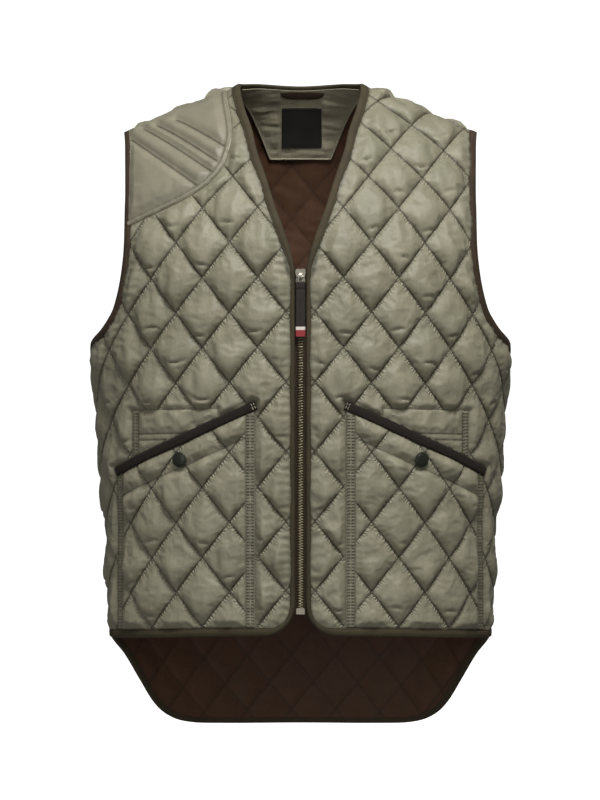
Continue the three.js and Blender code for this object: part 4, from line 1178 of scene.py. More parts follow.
@dataclass(frozen=True)
class Tape:
    """Woven tape, with ribs across its length."""

    name: str
    light: Colour
    dark: Colour
    ribs: float = 0.0011
    roughness: float = 0.8

    def material(self) -> bpy.types.Material:
        """Builds the material."""
        shader = Shader(self.name)
        flat, place = shader.pattern_place(), shader.object_place()
        weave = shader.bands(flat, "X", self.ribs, 0.5)
        threads = shader.bands(flat, "Y", self.ribs * 0.6, 0.4)
        cloud = shader.noise(place, 60.0, 3.0)
        tone = (weave * 0.35 + threads * 0.2 + (cloud - 0.3) * 0.9).held()
        colour = shader.blend(tone, linear(self.dark), linear(self.light))
        relief = shader.relief(weave * 0.6 + threads * 0.4, 0.00015)
        return shader.finish(Base_Color=colour, Roughness=self.roughness, Normal=relief)


@dataclass(frozen=True)
class Metal:
    """Plated metal with fine wear."""

    name: str
    colour: Colour
    worn: Colour
    roughness: float = 0.3
    metallic: float = 1.0

    def material(self) -> bpy.types.Material:
        """Builds the material."""
        shader = Shader(self.name)
        wear = shader.noise(shader.object_place(), 700.0, 4.0, 0.7)
        colour = shader.blend(((wear - 0.5) * 1.6 + 0.3).held(), linear(self.colour), linear(self.worn))
        rough = self.roughness + (wear - 0.5) * 0.3
        relief = shader.relief(wear, 0.00003)
        return shader.finish(Base_Color=colour, Roughness=rough, Normal=relief, Metallic=self.metallic)


@dataclass(frozen=True)
class StripedWebbing:
    """The puller's dark webbing, with a cream and a red stripe near its foot."""

    name: str = "puller webbing"
    cream: tuple[float, float] = (-0.2798, -0.2763)
    red: tuple[float, float] = (-0.2868, -0.2798)

    def material(self) -> bpy.types.Material:
        """Builds the material."""
        shader = Shader(self.name)
        place = shader.object_place()
        height = shader.part_of(place, 2)
        weave = shader.bands(place, "Z", 0.0009, 0.3)
        threads = shader.bands(place, "X", 0.0007, 0.3)
        tone = (weave * 0.5 + threads * 0.3 + (shader.noise(place, 300.0) - 0.4)).held()
        colour = shader.blend(tone, linear((24, 19, 16)), linear((48, 38, 31)))
        for (low, high), paint in ((self.cream, (236, 228, 216)), (self.red, (158, 50, 56))):
            within = height.over(low) * (1 - height.over(high))
            colour = shader.blend(within, colour, linear(paint))
        relief = shader.relief(weave * 0.6 + threads * 0.4, 0.0001)
        return shader.finish(Base_Color=colour, Roughness=0.7, Normal=relief)


class Finishes:
    """Every finish of the vest, made once."""

    def __init__(self) -> None:
        """Builds the materials."""
        light, mid, dark = (168, 162, 138), (136, 132, 110), (42, 39, 27)
        self.shell = Satin("olive satin", light, mid, dark, quilt=Quilt()).material()
        self.back_shell = Satin("olive satin back", light, mid, dark, quilt=Quilt(start=0.0)).material()
        patch = (162, 155, 134), (140, 135, 115), (46, 42, 30)
        self.patch = Satin("patch satin", *patch, 0.45, 0.0003).material()
        brown = (98, 64, 40), (82, 53, 33), (44, 28, 17)
        self.lining = Satin("brown lining", *brown, 0.65, 0.0004, shade=0.35, greenish=0.0).material()
        facing = (178, 170, 145), (150, 143, 120), (84, 79, 64)
        self.facing = Satin("facing satin", *facing, 0.5, 0.0012).material()
        self.tape = Tape("binding tape", (84, 74, 50), (52, 45, 29)).material()
        self.arm_tape = Tape("armhole tape", (78, 60, 40), (46, 34, 21)).material()
        self.braid = Tape("pocket braid", (44, 34, 24), (17, 12, 8), 0.0009, 0.85).material()
        self.zip_tape = Tape("zip tape", (74, 61, 43), (46, 37, 25), 0.0007, 0.85).material()
        self.label = Tape("label weave", (38, 35, 33), (22, 20, 19), 0.0005, 0.7).material()
        self.thread = Tape("olive thread", (132, 126, 104), (86, 80, 63), 0.0004, 0.6).material()
        self.dark_thread = Tape("dark thread", (74, 64, 48), (46, 38, 28), 0.0004, 0.65).material()
        self.piping = Tape("piping", (200, 193, 168), (160, 153, 130), 0.0006, 0.6).material()
        self.nickel = Metal("nickel", (196, 190, 172), (142, 136, 118), 0.3).material()
        self.teeth = Metal("aged metal", (172, 162, 132), (112, 103, 80), 0.34).material()
        self.cap = Metal("dark lacquer", (52, 56, 46), (34, 37, 30), 0.34, 0.35).material()
        self.webbing = StripedWebbing().material()


# Pieces.


class Body(Enum):
    """What a piece moves with."""

    VEST = "vest"
    PULL = "pull"


def worn(
    piece: bpy.types.Object,
    materials: Sequence[bpy.types.Material],
    slot: str,
    nodes: Sequence[str] = (),
    body: Body = Body.VEST,
) -> bpy.types.Object:
    """Finishes a piece, hides the solids that it replaces and attaches it to what it moves with.

    Args:
        piece: The piece.
        materials: Its materials, in the order of its faces.
        slot: Not used.
        nodes: Solids that it replaces.
        body: What it moves with.

    Returns:
        The same piece.
    """
    piece.data.materials.clear()
    for material in materials:
        piece.data.materials.append(material)
    if nodes:
        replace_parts(piece, *nodes)
    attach(piece, body.value)
    log.info("%s: %d faces", piece.name, len(piece.data.polygons))
    return piece


# A path in millimetres, with the outward direction at each of its points.
Run = tuple[Array, Array]


class Bead(Enum):
    """Form of a small repeated piece."""

    STITCH = "stitch"
    BAR = "bar"
    TOOTH = "tooth"


@dataclass(frozen=True)
class Sewing:
    """A row of stitches, bars or teeth along paths: their spacing, and size along, across and up."""

    pitch: float = 3.2
    size: tuple[float, float, float] = (2.3, 0.55, 0.5)
    bead: Bead = Bead.STITCH
    uneven: float = 0.15
    seed: int = 7

    def _form(self, nodes: Nodes) -> bpy.types.NodeSocket:
        """Adds the form that is repeated, one millimetre across before it is sized."""
        if self.bead is Bead.STITCH:
            inputs = {"Segments": 5, "Rings": 4, "Radius": 0.5}
            made = nodes.out("GeometryNodeMeshUVSphere", {}, inputs, "Mesh")
        else:
            inputs = {"Vertices": 10 if self.bead is Bead.TOOTH else 6, "Radius": 0.5, "Depth": 1.0}
            made = nodes.out("GeometryNodeMeshCylinder", {}, inputs, "Mesh")
        quarter = math.pi / 2 if self.bead is Bead.BAR else 0
        return nodes.out("GeometryNodeTransform", {}, {"Geometry": made, "Rotation": (0, 0, quarter)})

    def _tree(self) -> bpy.types.NodeTree:
        """Builds the nodes that lay the repeated form along paths."""
        tree = bpy.data.node_groups.new("sewing", "GeometryNodeTree")
        sockets = (
            ("Geometry", "NodeSocketGeometry"), ("Pitch", "NodeSocketFloat"), ("Size", "NodeSocketVector"),
            ("Unevenness", "NodeSocketFloat"), ("Seed", "NodeSocketInt"), ("Material", "NodeSocketMaterial"),
        )
        for name, kind in sockets:
            tree.interface.new_socket(name=name, in_out="INPUT", socket_type=kind)
        tree.interface.new_socket(name="Geometry", in_out="OUTPUT", socket_type="NodeSocketGeometry")
        nodes = Nodes(tree)
        given = nodes.node("NodeGroupInput", {}, {}).outputs
        curve = nodes.out("GeometryNodeMeshToCurve", {}, {"Mesh": given["Geometry"]})
        inputs = {"Curve": curve, "Length": given["Pitch"]}
        even = nodes.out("GeometryNodeResampleCurve", {"mode": "LENGTH"}, inputs)
        tangent = nodes.out("GeometryNodeInputTangent", {}, {})
        along = nodes.out("FunctionNodeAlignRotationToVector", {"axis": "X"}, {"Vector": tangent})
        vector = {"data_type": "FLOAT_VECTOR"}
        outward = nodes.out("GeometryNodeInputNamedAttribute", vector, {"Name": "out"}, "Attribute")
        settings, inputs = {"axis": "Z", "pivot_axis": "X"}, {"Rotation": along, "Vector": outward}
        turned = nodes.out("FunctionNodeAlignRotationToVector", settings, inputs)
        low, high = (
            nodes.out("ShaderNodeMath", {"operation": operation}, {0: 1.0, 1: given["Unevenness"]})
            for operation in ("SUBTRACT", "ADD")
        )
        inputs = {2: low, 3: high, "Seed": given["Seed"]}
        chance = nodes.out("FunctionNodeRandomValue", {"data_type": "FLOAT"}, inputs, 1)
        inputs = {0: given["Size"], "Scale": chance}
        sized = nodes.out("ShaderNodeVectorMath", {"operation": "SCALE"}, inputs)
        inputs = {"Points": even, "Instance": self._form(nodes), "Rotation": turned, "Scale": sized}
        laid = nodes.out("GeometryNodeInstanceOnPoints", {}, inputs)
        real = nodes.out("GeometryNodeRealizeInstances", {}, {0: laid})
        inputs = {"Geometry": real, "Material": given["Material"]}
        nodes.node("NodeGroupOutput", {}, {0: nodes.out("GeometryNodeSetMaterial", {}, inputs)})
        return tree

    def along(
        self, name: str, runs: Sequence[Run], material: bpy.types.Material, slot: str = "shell",
        body: Body = Body.VEST,
    ) -> bpy.types.Object:
        """Sews along paths.

        Args:
            name: Name of the piece.
            runs: Paths.
            material: Finish of the repeated form.
            slot: Passed on to worn.
            body: What it moves with.

        Returns:
            One plain piece.
        """
        points, outs = (np.concatenate(parts) for parts in zip(*runs))
        edges, start = [], 0
        for run, _ in runs:
            edges += [(start + k, start + k + 1) for k in range(len(run) - 1)]
            start += len(run)
        paths = bpy.data.meshes.new("paths")
        paths.from_pydata((points * MM).tolist(), edges, [])
        outward = paths.attributes.new("out", "FLOAT_VECTOR", "POINT")
        outward.data.foreach_set("vector", outs.astype(np.float32).ravel())
        guide = put("paths", paths)
        tree = self._tree()
        nodes = guide.modifiers.new("sewing", "NODES")
        nodes.node_group = tree
        values = {
            "Pitch": self.pitch * MM, "Size": [s * MM for s in self.size], "Unevenness": self.uneven,
            "Seed": self.seed, "Material": material,
        }
        for item in tree.interface.items_tree:
            if item.in_out == "INPUT" and item.name in values:
                nodes[item.identifier] = values[item.name]
        guide.update_tag()
        graph = bpy.context.evaluated_depsgraph_get()
        mesh = bpy.data.meshes.new_from_object(guide.evaluated_get(graph))
        bpy.data.objects.remove(guide)
        bpy.data.meshes.remove(paths)
        bpy.data.node_groups.remove(tree)
        if "out" in mesh.attributes:
            mesh.attributes.remove(mesh.attributes["out"])
        layer = mesh.uv_layers.new(name="pattern")
        spots = np.empty(len(mesh.vertices) * 3, np.float32)
        corners = np.empty(len(mesh.loops), np.int32)
        mesh.vertices.foreach_get("co", spots)
        mesh.loops.foreach_get("vertex_index", corners)
        layer.data.foreach_set("uv", spots.reshape(-1, 3)[corners][:, [0, 2]].ravel())
        mesh.name = name
        mesh.shade_smooth()
        return worn(put(name, mesh), (material,), slot, (), body)


class Side(Enum):
    """Side of the wearer."""

    LEFT = "left"
    RIGHT = "right"

    @property
    def mirrored(self) -> bool:
        """Whether the side is the mirror of the pattern."""
        return self is Side.RIGHT

    def turn(self, points: Array) -> Array:
        """Points of the pattern's side brought to this side."""
        return points * np.array([-1, 1, 1]) if self.mirrored else points


def laid_run(half: Half, flat: Array, height: float, side: Side = Side.LEFT) -> Run:
    """A path on the figure and its outward directions."""
    return side.turn(half.place(flat, height)), side.turn(half.out(flat))


def offset_line(path: Array, distance: float) -> Array:
    """A path moved to its left."""
    steps = np.diff(path, axis=0)
    normals = np.stack([-steps[:, 1], steps[:, 0]], axis=1)
    normals /= np.linalg.norm(normals, axis=1, keepdims=True)
    sides = np.concatenate([normals[:1], normals[:-1] + normals[1:], normals[-1:]])
    sides /= np.linalg.norm(sides, axis=1, keepdims=True)
    nearest = np.concatenate([normals[:1], normals[1:], normals[-1:]])
    return path + sides * distance / np.sum(sides * nearest, axis=1, keepdims=True)


def closed_by(path: Array, *corners: tuple[float, float]) -> list[Array]:
    """A path and the straight runs that lead over corners back to its start."""
    runs = [path]
    for corner in (*corners, path[0]):
        runs.append(spaced(np.array([runs[-1][-1], corner]), 2.0))
    return runs


@dataclass(frozen=True)
class PocketShape:
    """Flat shape of a pocket: its opening, sides, bands and snap."""

    opening: tuple[tuple[float, float], ...] = ((49, -62.3), (131.5, -98.2), (220.5, -131))
    inner: float = 49.0
    outer_top: float = 219.8
    outer_foot: float = 224.7
    trim: float = 10.0
    band: float = 9.8
    fold: float = 28.0
    upper: tuple[float, float, float] = (90.0, 194.4, -66.0)
    snap: tuple[float, float] = (132.0, -119.5)
    gap: float = 0.3

    def trim_outline(self) -> Array:
        """Outline of the braided trim."""
        rows = [self.cut_line(side * self.trim / 2, self.inner - 1, 221.0) for side in (-1, 1)]
        return np.concatenate([rows[0], rows[1][::-1]])

    def cut_line(self, distance: float, low: float, high: float) -> Array:
        """A line along the opening at a distance above it, between two sideways places."""
        rows = offset_line(np.array(self.opening, float), distance)
        ends = np.array([(u, np.interp(u, rows[:, 0], rows[:, 1])) for u in (low, high)])
        last = rows[-1] - rows[-2]
        ends[1, 1] += max(0.0, high - rows[-1, 0]) * last[1] / last[0]
        middle = rows[(rows[:, 0] > low + 1) & (rows[:, 0] < high - 1)]
        return spaced(np.concatenate([ends[:1], middle, ends[1:]]), 2.0)

    def bag(self) -> Array:
        """Outline of the bag, down to the hem binding."""
        foot = PATTERN.hem_v + PATTERN.widths.hem + self.gap
        top = self.cut_line(-self.trim / 2 - self.gap, self.inner, self.outer_top)
        runs = closed_by(top, (self.outer_foot, foot), (self.inner, foot))
        return joined([run[::-1] for run in (top, *runs[:0:-1])])

    def over(self) -> Array:
        """Outline of the band above the opening."""
        low, high, top = self.upper
        foot = self.cut_line(self.trim / 2 + self.gap, low, high)
        return joined(closed_by(foot, (high, top), (low, top)))


POCKET = PocketShape()


@dataclass(frozen=True)
class PatchShape:
    """Flat shape of the shoulder patch: its free edge and its sewn channels."""

    free: tuple[tuple[float, float], ...] = (
        (112, 340), (103, 304), (90, 262), (85.3, 240), (85.3, 222),
        (89, 202), (103, 180.3), (129.7, 161.3), (159, 147.9), (215, 127),
    )
    slant: float = math.radians(36.5)
    channels: tuple[float, ...] = (74.5, 96.6, 109.8, 128.3)
    shorter: tuple[int, ...] = (0, 4, 6, 8)
    base: float = 2.4
    seam: float = 3.3
    puff: float = 4.0
    edge_band: float = 5.0
    clear: float = 6.5

    def edge(self) -> Array:
        """The free edge as a smooth path, from the shoulder down to the armhole."""
        return spaced(curve_through(np.array(self.free, float)), 2.0)

    def outline(self) -> Array:
        """Its outline: the free edge, the armhole and the shoulder seam."""
        front = PATTERN.front_outline()
        edge = self.edge()
        field_of = np.concatenate([edge, [(250.0, 127.0), (250.0, 340.0)]])
        held = inside(field_of, front)
        start = int(np.argmax(held & ~np.roll(held, 1)))
        ring = np.roll(front, -start, axis=0)
        kept = ring[: int(np.argmin(np.roll(held, -start)))]
        within = edge[inside(front, edge)]
        return joined([within, kept], 1.0)

    def across(self, flat: Array) -> Array:
        """Place across the channels."""
        return flat[:, 1] * math.cos(self.slant) - flat[:, 0] * math.sin(self.slant)

    def lines(self, outline: Array) -> list[Array]:
        """The sewn channels, inside the outline and the edge band."""
        runs = []
        across, upward = math.cos(self.slant), math.sin(self.slant)
        along = np.arange(60, 460, 3.0)
        for b, short in zip(self.channels, self.shorter):
            points = np.stack([along * across - b * upward, along * upward + b * across], 1)
            keep = inside(outline, points)
            clear = off_path(self.edge(), points[keep]) > self.clear
            keep[keep] = clear & (off_outline(outline, points[keep]) > 3)
            runs.append(points[keep][: keep.sum() - short])
        return runs


PATCH = PatchShape()


@dataclass(frozen=True)
class Padded:
    """A padded face: its height at its seams and how far it swells between them."""

    base: float
    swell: float
    beside: float = 14.0
    spacing: float = 2.6

    def heights(self, share: Array, room: Array) -> Array:
        """Height of the face.

        Args:
            share: Share of the full swell at each point.
            room: Distance to the nearest edge that holds the face down.

        Returns:
            The heights.
        """
        least = 0.16
        grown = least + (1 - least) * smooth_step(room / self.beside)
        return self.base + self.swell * share * grown * (room > 0)


@dataclass
class Panels:
    """Both quilted fronts and the quilted back."""

    finish: Finishes
    quilt: Quilt = field(default_factory=Quilt)
    back_quilt: Quilt = field(default_factory=lambda: Quilt(start=0.0))
    padded: Padded = Padded(2.0, 7.8, 14.0, 2.3)
    back_padded: Padded = Padded(2.0, 7.8, 14.0, 3.0)
    filling: Filling = Filling()
    arm_room: float = 10.0
    thread_height: float = 2.15
    still: float = 0.02
    # Strength and width in millimetres of the painted shade along the bound edges and round what lies on a
    # panel.
    edge_shade_strength: float = 0.9
    edge_shade_width: float = 1.8

    def _settled(
        self, half: Half, cloth: Cloth, quilt: Quilt, room: Array, calm: Array,
        padded: Padded, seed: int,
    ) -> Array:
        """Fills a panel out.

        Args:
            half: The half of the figure it lies on.
            cloth: The panel's cloth.
            quilt: Its quilting.
            room: Distance from each point to the panel's bound edges.
            calm: How free each point is to swell, from 0 to 1.
            padded: Its heights.
            seed: Seed of its small unevenness.

        Returns:
            The points of its face.
        """
        chance = np.random.default_rng(seed)
        far = quilt.distance(cloth.flat)
        share = quilt.puff(cloth.flat) * calm
        uneven = smooth_noise(cloth.flat, 38.0, seed) * 0.14 + 1
        folds = smooth_noise(cloth.flat * np.array([1.0, 0.28]), 14.0, seed + 1) * 0.17
        share = share * (uneven + folds) - 0.3 * quilt.creases(cloth.flat, seed) * calm * (share > 0.2)
        share *= 1 - 0.4 * smooth_step((np.abs(cloth.flat[:, 0]) - 195) / 60)
        heights = padded.heights(share, room) + self._gathers(cloth.flat, room, far, seed) * calm
        sewn = (far < ON_LINE) | (calm < self.still)
        sewn[cloth.rim().ravel()] = True
        heights += np.where(sewn, 0, chance.uniform(-0.09, 0.09, len(heights)))
        gathered = np.maximum(np.exp(-np.maximum(room, 0) / 11), 0.7 * np.exp(-far / 5)) * calm
        turned = cloth.triangles if half.facing < 0 else cloth.triangles[:, ::-1]
        return self.filling.settle(half.place(cloth.flat, heights), turned, sewn, gathered)

    def _gathers(self, flat: Array, room: Array, far: Array, seed: int) -> Array:
        """Small folds that run away from the bound edges.

        Args:
            flat: Places on the pattern.
            room: Distance from each place to the bound edges.
            far: Distance from each place to the stitched lines.
            seed: Seed of the folds.

        Returns:
            Their height.
        """
        waves = smooth_noise(flat * np.array([0.22, 1.0]), 8.0, seed + 2)
        fading = np.exp(-np.maximum(room - 1, 0) / 9)
        return waves * fading * smooth_step(room / 3) * smooth_step(far / 3)

    def front(self, side: Side) -> bpy.types.Object:
        """Builds one front."""
        outline = PATTERN.front_outline()
        lines = self.quilt.lines(outline, 3.2, 0.8)
        cloth = Cloth.cut(outline, lines, self.padded.spacing)
        flat = cloth.flat
        bound = [
            (PATTERN.neck.points, PATTERN.neck_width().max()),
            (PATTERN.front_edge.points, PATTERN.widths.front), (PATTERN.front_arm.points, self.arm_room),
        ]
        room = np.min([off_path(path, flat) - width for path, width in bound], axis=0)
        covers = self._covers(side)
        calm = np.ones(len(flat))
        for shape, reach in zip(covers, (9.0, 7.0, 6.0, 12.0)):
            beside = smooth_step(off_outline(shape, flat) / reach)
            calm = np.minimum(calm, np.where(inside(shape, flat), 0, beside))
        calm = np.where(calm < self.still, 0, calm)
        seed = 11 if side is Side.LEFT else 23
        spots = self._settled(FRONT, cloth, self.quilt, np.maximum(room, 0.01), calm, self.padded, seed)
        shell = Sheets(FRONT, cloth, self._inner_front, mirror=side.mirrored)
        # Painted shade along the bindings and round the pocket and patch outlines.
        beside = [off_outline(shape, flat) for shape in covers]
        nearest = np.min([np.maximum(room, 0), *beside], axis=0)
        edge_shade = self.edge_shade_strength * np.exp(-nearest / self.edge_shade_width)
        piece = shell.build(f"front_panel_{side.value}", spots, edge_shade, smooth_step(calm / 0.1))
        worn(piece, (self.finish.shell, self.finish.lining), "shell", [f"front_{side.value}"])
        runs = [laid_run(FRONT, run, self.thread_height, side) for run in self._open_parts(lines, side)]
        stitches = Sewing(seed=seed).along(f"front_stitches_{side.value}", runs, self.finish.thread)
        return piece

    def _covers(self, side: Side) -> list[Array]:
        """Outlines of what lies on a front."""
        covers = [POCKET.bag(), POCKET.over(), POCKET.trim_outline()]
        return [*covers, PATCH.outline()] if side is Side.RIGHT else covers

    def _covered(self, flat: Array, side: Side) -> Array:
        """Whether places of a front lie under its pocket or patch."""
        return np.any([inside(cover, flat) for cover in self._covers(side)], axis=0)

    def _open_parts(self, lines: Sequence[Array], side: Side) -> list[Array]:
        """Parts of stitched lines that show."""
        return [part for run in lines for part in split_where(run, ~self._covered(run, side))]

    def _inner_front(self, flat: Array) -> Array:
        """Height of the lined inner face of a front."""
        room = np.minimum(off_path(PATTERN.front_edge.points, flat), off_path(PATTERN.neck.points, flat))
        return 0.4 - 1.9 * self.quilt.puff(flat) * smooth_step((room - 17) / 12)

    def back(self) -> bpy.types.Object:
        """Builds the back."""
        outline = PATTERN.back_outline()
        lines = self.back_quilt.lines(outline, 4.0, 0.8)
        cloth = Cloth.cut(outline, lines, self.back_padded.spacing)
        flat = cloth.flat
        bound = [
            (PATTERN.back_neck.points, PATTERN.widths.neck), (PATTERN.tail.points, PATTERN.widths.tail),
            (PATTERN.back_arm.points, self.arm_room), (PATTERN.back_arm.mirrored().points, self.arm_room),
        ]
        room = np.min([off_path(path, flat) - width for path, width in bound], axis=0)
        # Painted shade along the back's bindings.
        edge_shade = self.edge_shade_strength * np.exp(-np.maximum(room, 0) / self.edge_shade_width)
        calm = np.ones(len(flat))
        room = np.maximum(room, 0.01)
        spots = self._settled(BACK, cloth, self.back_quilt, room, calm, self.back_padded, 31)
        shell = Sheets(BACK, cloth, level(0.0), 12.0)
        piece = shell.build("back_panel", spots, edge_shade, calm)
        worn(piece, (self.finish.back_shell, self.finish.lining), "shell", ["back"])
        runs = [laid_run(BACK, run, self.thread_height) for run in lines]
        stitches = Sewing(seed=3).along("back_stitches", runs, self.finish.thread)
        return piece


def smooth_noise(flat: Array, size: float, seed: int) -> Array:
    """Slow random waves over flat places, from about -1 to 1."""
    chance = np.random.default_rng(seed)
    total = np.zeros(len(flat))
    for _ in range(6):
        turn, phase = chance.uniform(0, 2 * math.pi, 2)
        pace = 2 * math.pi / (size * chance.uniform(0.7, 1.6))
        total += np.sin((flat[:, 0] * math.cos(turn) + flat[:, 1] * math.sin(turn)) * pace + phase)
    return total / 3.5


@dataclass
class Pockets:
    """The pockets: bag, braided trim, band above the opening and snap."""

    finish: Finishes
    shape: PocketShape = POCKET
    quilt: Quilt = field(default_factory=Quilt)
    padded: Padded = Padded(3.3, 6.9, 9.0, 2.3)
    filling: Filling = Filling()
    rear: float = 2.3
    thread_height: float = 3.45
    braid_end: float = 221.0
    rung: tuple[float, float, float] = (1.25, 3.9, 0.8)
    rib: float = 2.5
    rib_height: float = 0.42

    def _bands(self) -> list[Array]:
        """Sewn lines of the bag besides its quilting: both side bands and the fold at the top."""
        shape = self.shape
        foot = PATTERN.hem_v + PATTERN.widths.hem
        inner = shape.inner + shape.band
        top = shape.cut_line(-shape.trim / 2 - shape.gap, inner, inner + 4)[0, 1]
        outer_top = np.array([shape.outer_top - shape.band, -134.0])
        outer_foot = np.array([shape.outer_foot - shape.band, foot + 1.2])
        fold = shape.cut_line(-shape.fold, inner + 0.5, shape.outer_top - shape.band)
        return [
            spaced(np.array([(inner, top - 1), (inner, foot + 1.2)]), 2.4),
            spaced(np.array([outer_top, outer_foot]), 2.4),
            fold,
        ]

    def bag(self, side: Side) -> None:
        """Builds the bag of one pocket, with its sewing."""
        outline = self.shape.bag()
        bands = self._bands()
        inner_u = self.shape.inner + self.shape.band

        def outer_at(v: Array) -> Array:
            """Inner edge of the outer band at each height."""
            return np.interp(v, bands[1][::-1, 1], bands[1][::-1, 0])

        def between(flat: Array) -> Array:
            """Whether places lie between both bands."""
            return (flat[:, 0] > inner_u + 0.3) & (flat[:, 0] < outer_at(flat[:, 1]) - 0.3)

        lines = [p for run in self.quilt.lines(outline, 3.2, 1.0) for p in split_where(run, between(run))]
        cloth = Cloth.cut(outline, [*lines, *bands], self.padded.spacing)
        flat = cloth.flat
        far = self.quilt.distance(flat)
        band_far = np.min([off_path(band, flat) for band in bands], axis=0)
        middle = between(flat)
        room = np.minimum(off_outline(outline, flat), band_far)
        share = self.quilt.puff(flat) * middle
        seed = 41 if side is Side.LEFT else 53
        chance = np.random.default_rng(seed)
        folds = smooth_noise(flat * np.array([1.0, 0.28]), 17.0, seed + 2) * 0.13
        share = share * (1 + 0.14 * smooth_noise(flat, 38, seed) + folds)
        share -= 0.2 * self.quilt.creases(flat, seed) * middle * (share > 0.2)
        heights = self.padded.heights(share, room)
        ripples = 0.45 * smooth_noise(flat * np.array([0.25, 1.0]), 8.0, seed + 1)
        fading = np.exp(-room / 8) * smooth_step(np.minimum(room, far) / 3)
        heights += ripples * np.where(middle, fading, smooth_step(room / 3))
        sewn = (band_far < ON_LINE) | ((far < ON_LINE) & middle) | ~middle
        sewn[cloth.rim().ravel()] = True
        heights += np.where(sewn, 0, chance.uniform(-0.07, 0.07, len(heights)))
        edge = off_outline(outline, flat)
        heights -= 0.9 * (1 - smooth_step(edge / 1.2))
        gathered = np.maximum(np.exp(-room / 8), 0.7 * np.exp(-far / 5)) * middle
        spots = self.filling.settle(FRONT.place(flat, heights), cloth.triangles, sewn, gathered)
        # Painted shade along the sewn bands and fold, and round the bag's outline.
        deep = np.maximum(np.exp(-band_far / 1.0) * 0.85, np.exp(-edge / 1.0) * 0.7)
        sheets = Sheets(FRONT, cloth, level(self.rear), 8.0, side.mirrored)
        piece = sheets.build(f"pocket_bag_{side.value}", spots, deep, middle.astype(float))
        worn(piece, (self.finish.shell, self.finish.shell), "shell", [f"pocket_{side.value}"])
        runs = [laid_run(FRONT, run, self.thread_height, side) for run in [*lines, bands[2]]]
        stitches = Sewing(seed=seed).along(f"pocket_stitches_{side.value}", runs, self.finish.thread)
        rungs = self._rungs(bands, side, f"pocket_rungs_{side.value}", seed)

    def _rungs(self, bands: Sequence[Array], side: Side, name: str, seed: int) -> bpy.types.Object:
        """Bars of thread across both side bands, in two columns each."""
        runs = []
        for band, away in ((bands[0], -1), (bands[1], 1)):
            for column in (2.5, 7.2):
                runs.append(laid_run(FRONT, band + np.array([away * column, 0]), 3.5, side))
        return Sewing(3.4, self.rung, Bead.BAR, 0.12, seed).along(name, runs, self.finish.thread)

    def over(self, side: Side) -> None:
        """Builds the band above the opening."""
        shape = self.shape
        outline = shape.over()
        low, high, top = shape.upper
        outer = high - 9
        rows = [np.array([(low + 3, top - drop), (outer, top - drop)]) for drop in (25.0, 31.5)]
        side_row = np.array([(outer, top - 2.5), (outer, top - 47)])
        seams = []
        for run in (spaced(row, 2.4) for row in (*rows, side_row)):
            seams += split_where(run, inside(outline, run) & (off_outline(outline, run) > 1))
        cloth = Cloth.cut(outline, seams, 2.4)
        flat = cloth.flat
        seam_far = np.min([off_path(run, flat) for run in seams], axis=0)
        room = np.minimum(off_outline(outline, flat), seam_far)
        seed = 61 if side is Side.LEFT else 67
        plain = flat[:, 1] > top - 25
        banded = flat[:, 0] > outer
        swell = np.where(plain, 1.3, 0.9) * smooth_step(room / 9) * ~banded
        fold = smooth_noise(flat * np.array([1.0, 0.35]), 30, seed) * 0.35 * smooth_step(room / 6)
        heights = 3.2 + swell + fold * ~banded - 0.8 * (1 - smooth_step(off_outline(outline, flat) / 1.2))
        sewn = seam_far < ON_LINE
        sewn[cloth.rim().ravel()] = True
        gathered = np.exp(-room / 8) * ~banded
        laid = FRONT.place(flat, heights)
        spots = self.filling.settle(laid, cloth.triangles, sewn | banded, gathered * 0.5)
        sheets = Sheets(FRONT, cloth, level(self.rear), 8.0, side.mirrored)
        # Painted shade along the band's seams.
        piece = sheets.build(f"pocket_band_{side.value}", spots, np.exp(-seam_far / 1.2))
        worn(piece, (self.finish.shell, self.finish.shell), "shell", [f"upper_pocket_{side.value}"])
        runs = [laid_run(FRONT, run, 3.35, side) for run in seams]
        stitches = Sewing(2.6, seed=seed).along(f"band_stitches_{side.value}", runs, self.finish.thread)
        ladders = []
        for column in (high - 7, high - 2.8):
            run = spaced(np.array([(column, top - 2.5), (column, top - 50)]), 2.4)
            ladders += [laid_run(FRONT, p, 3.4, side) for p in split_where(run, inside(outline, run))]
        ladder = Sewing(3.4, (1.25, 3.5, 0.8), Bead.BAR, 0.12, seed)
        rungs = ladder.along(f"band_rungs_{side.value}", ladders, self.finish.thread)

    def trim(self, side: Side) -> None:
        """Builds the ribbed braid along the opening."""
        half = self.shape.trim / 2
        middle = spaced(self.shape.cut_line(0, self.shape.inner - 1, self.braid_end), 0.55)
        above, below = (offset_line(middle, d) for d in (half, -half))
        turn = run_of(middle) * 2 * math.pi / self.rib
        profile = (
            (0.0, 2.4, 0), (0.0, 3.9, 0.3), (0.09, 4.6, 0.8), (0.3, 4.95, 1), (0.5, 4.8, 1),
            (0.7, 5.0, 1), (0.91, 4.6, 0.8), (1.0, 3.9, 0.3), (1.0, 2.4, 0),
        )
        rows = []
        for share, height, ribbed in profile:
            ribs = self.rib_height * ribbed * np.sin(turn + 6 * share)
            rows.append(FRONT.place(below + (above - below) * share, height + ribs))
        piece = swept(f"pocket_braid_{side.value}", side.turn(np.stack(rows, 1)))
        worn(piece, (self.finish.braid,), "braid", [f"pocket_trim_{side.value}"])
        inner = middle[:10]
        tack = [laid_run(FRONT, offset_line(inner, d)[2:8], 5.2, side) for d in (-2.0, 2.0)]
        sewing = Sewing(1.5, (0.9, 3.4, 0.8), Bead.BAR, 0.2, 5)
        tacks = sewing.along(f"braid_tacks_{side.value}", tack, self.finish.piping, "braid")

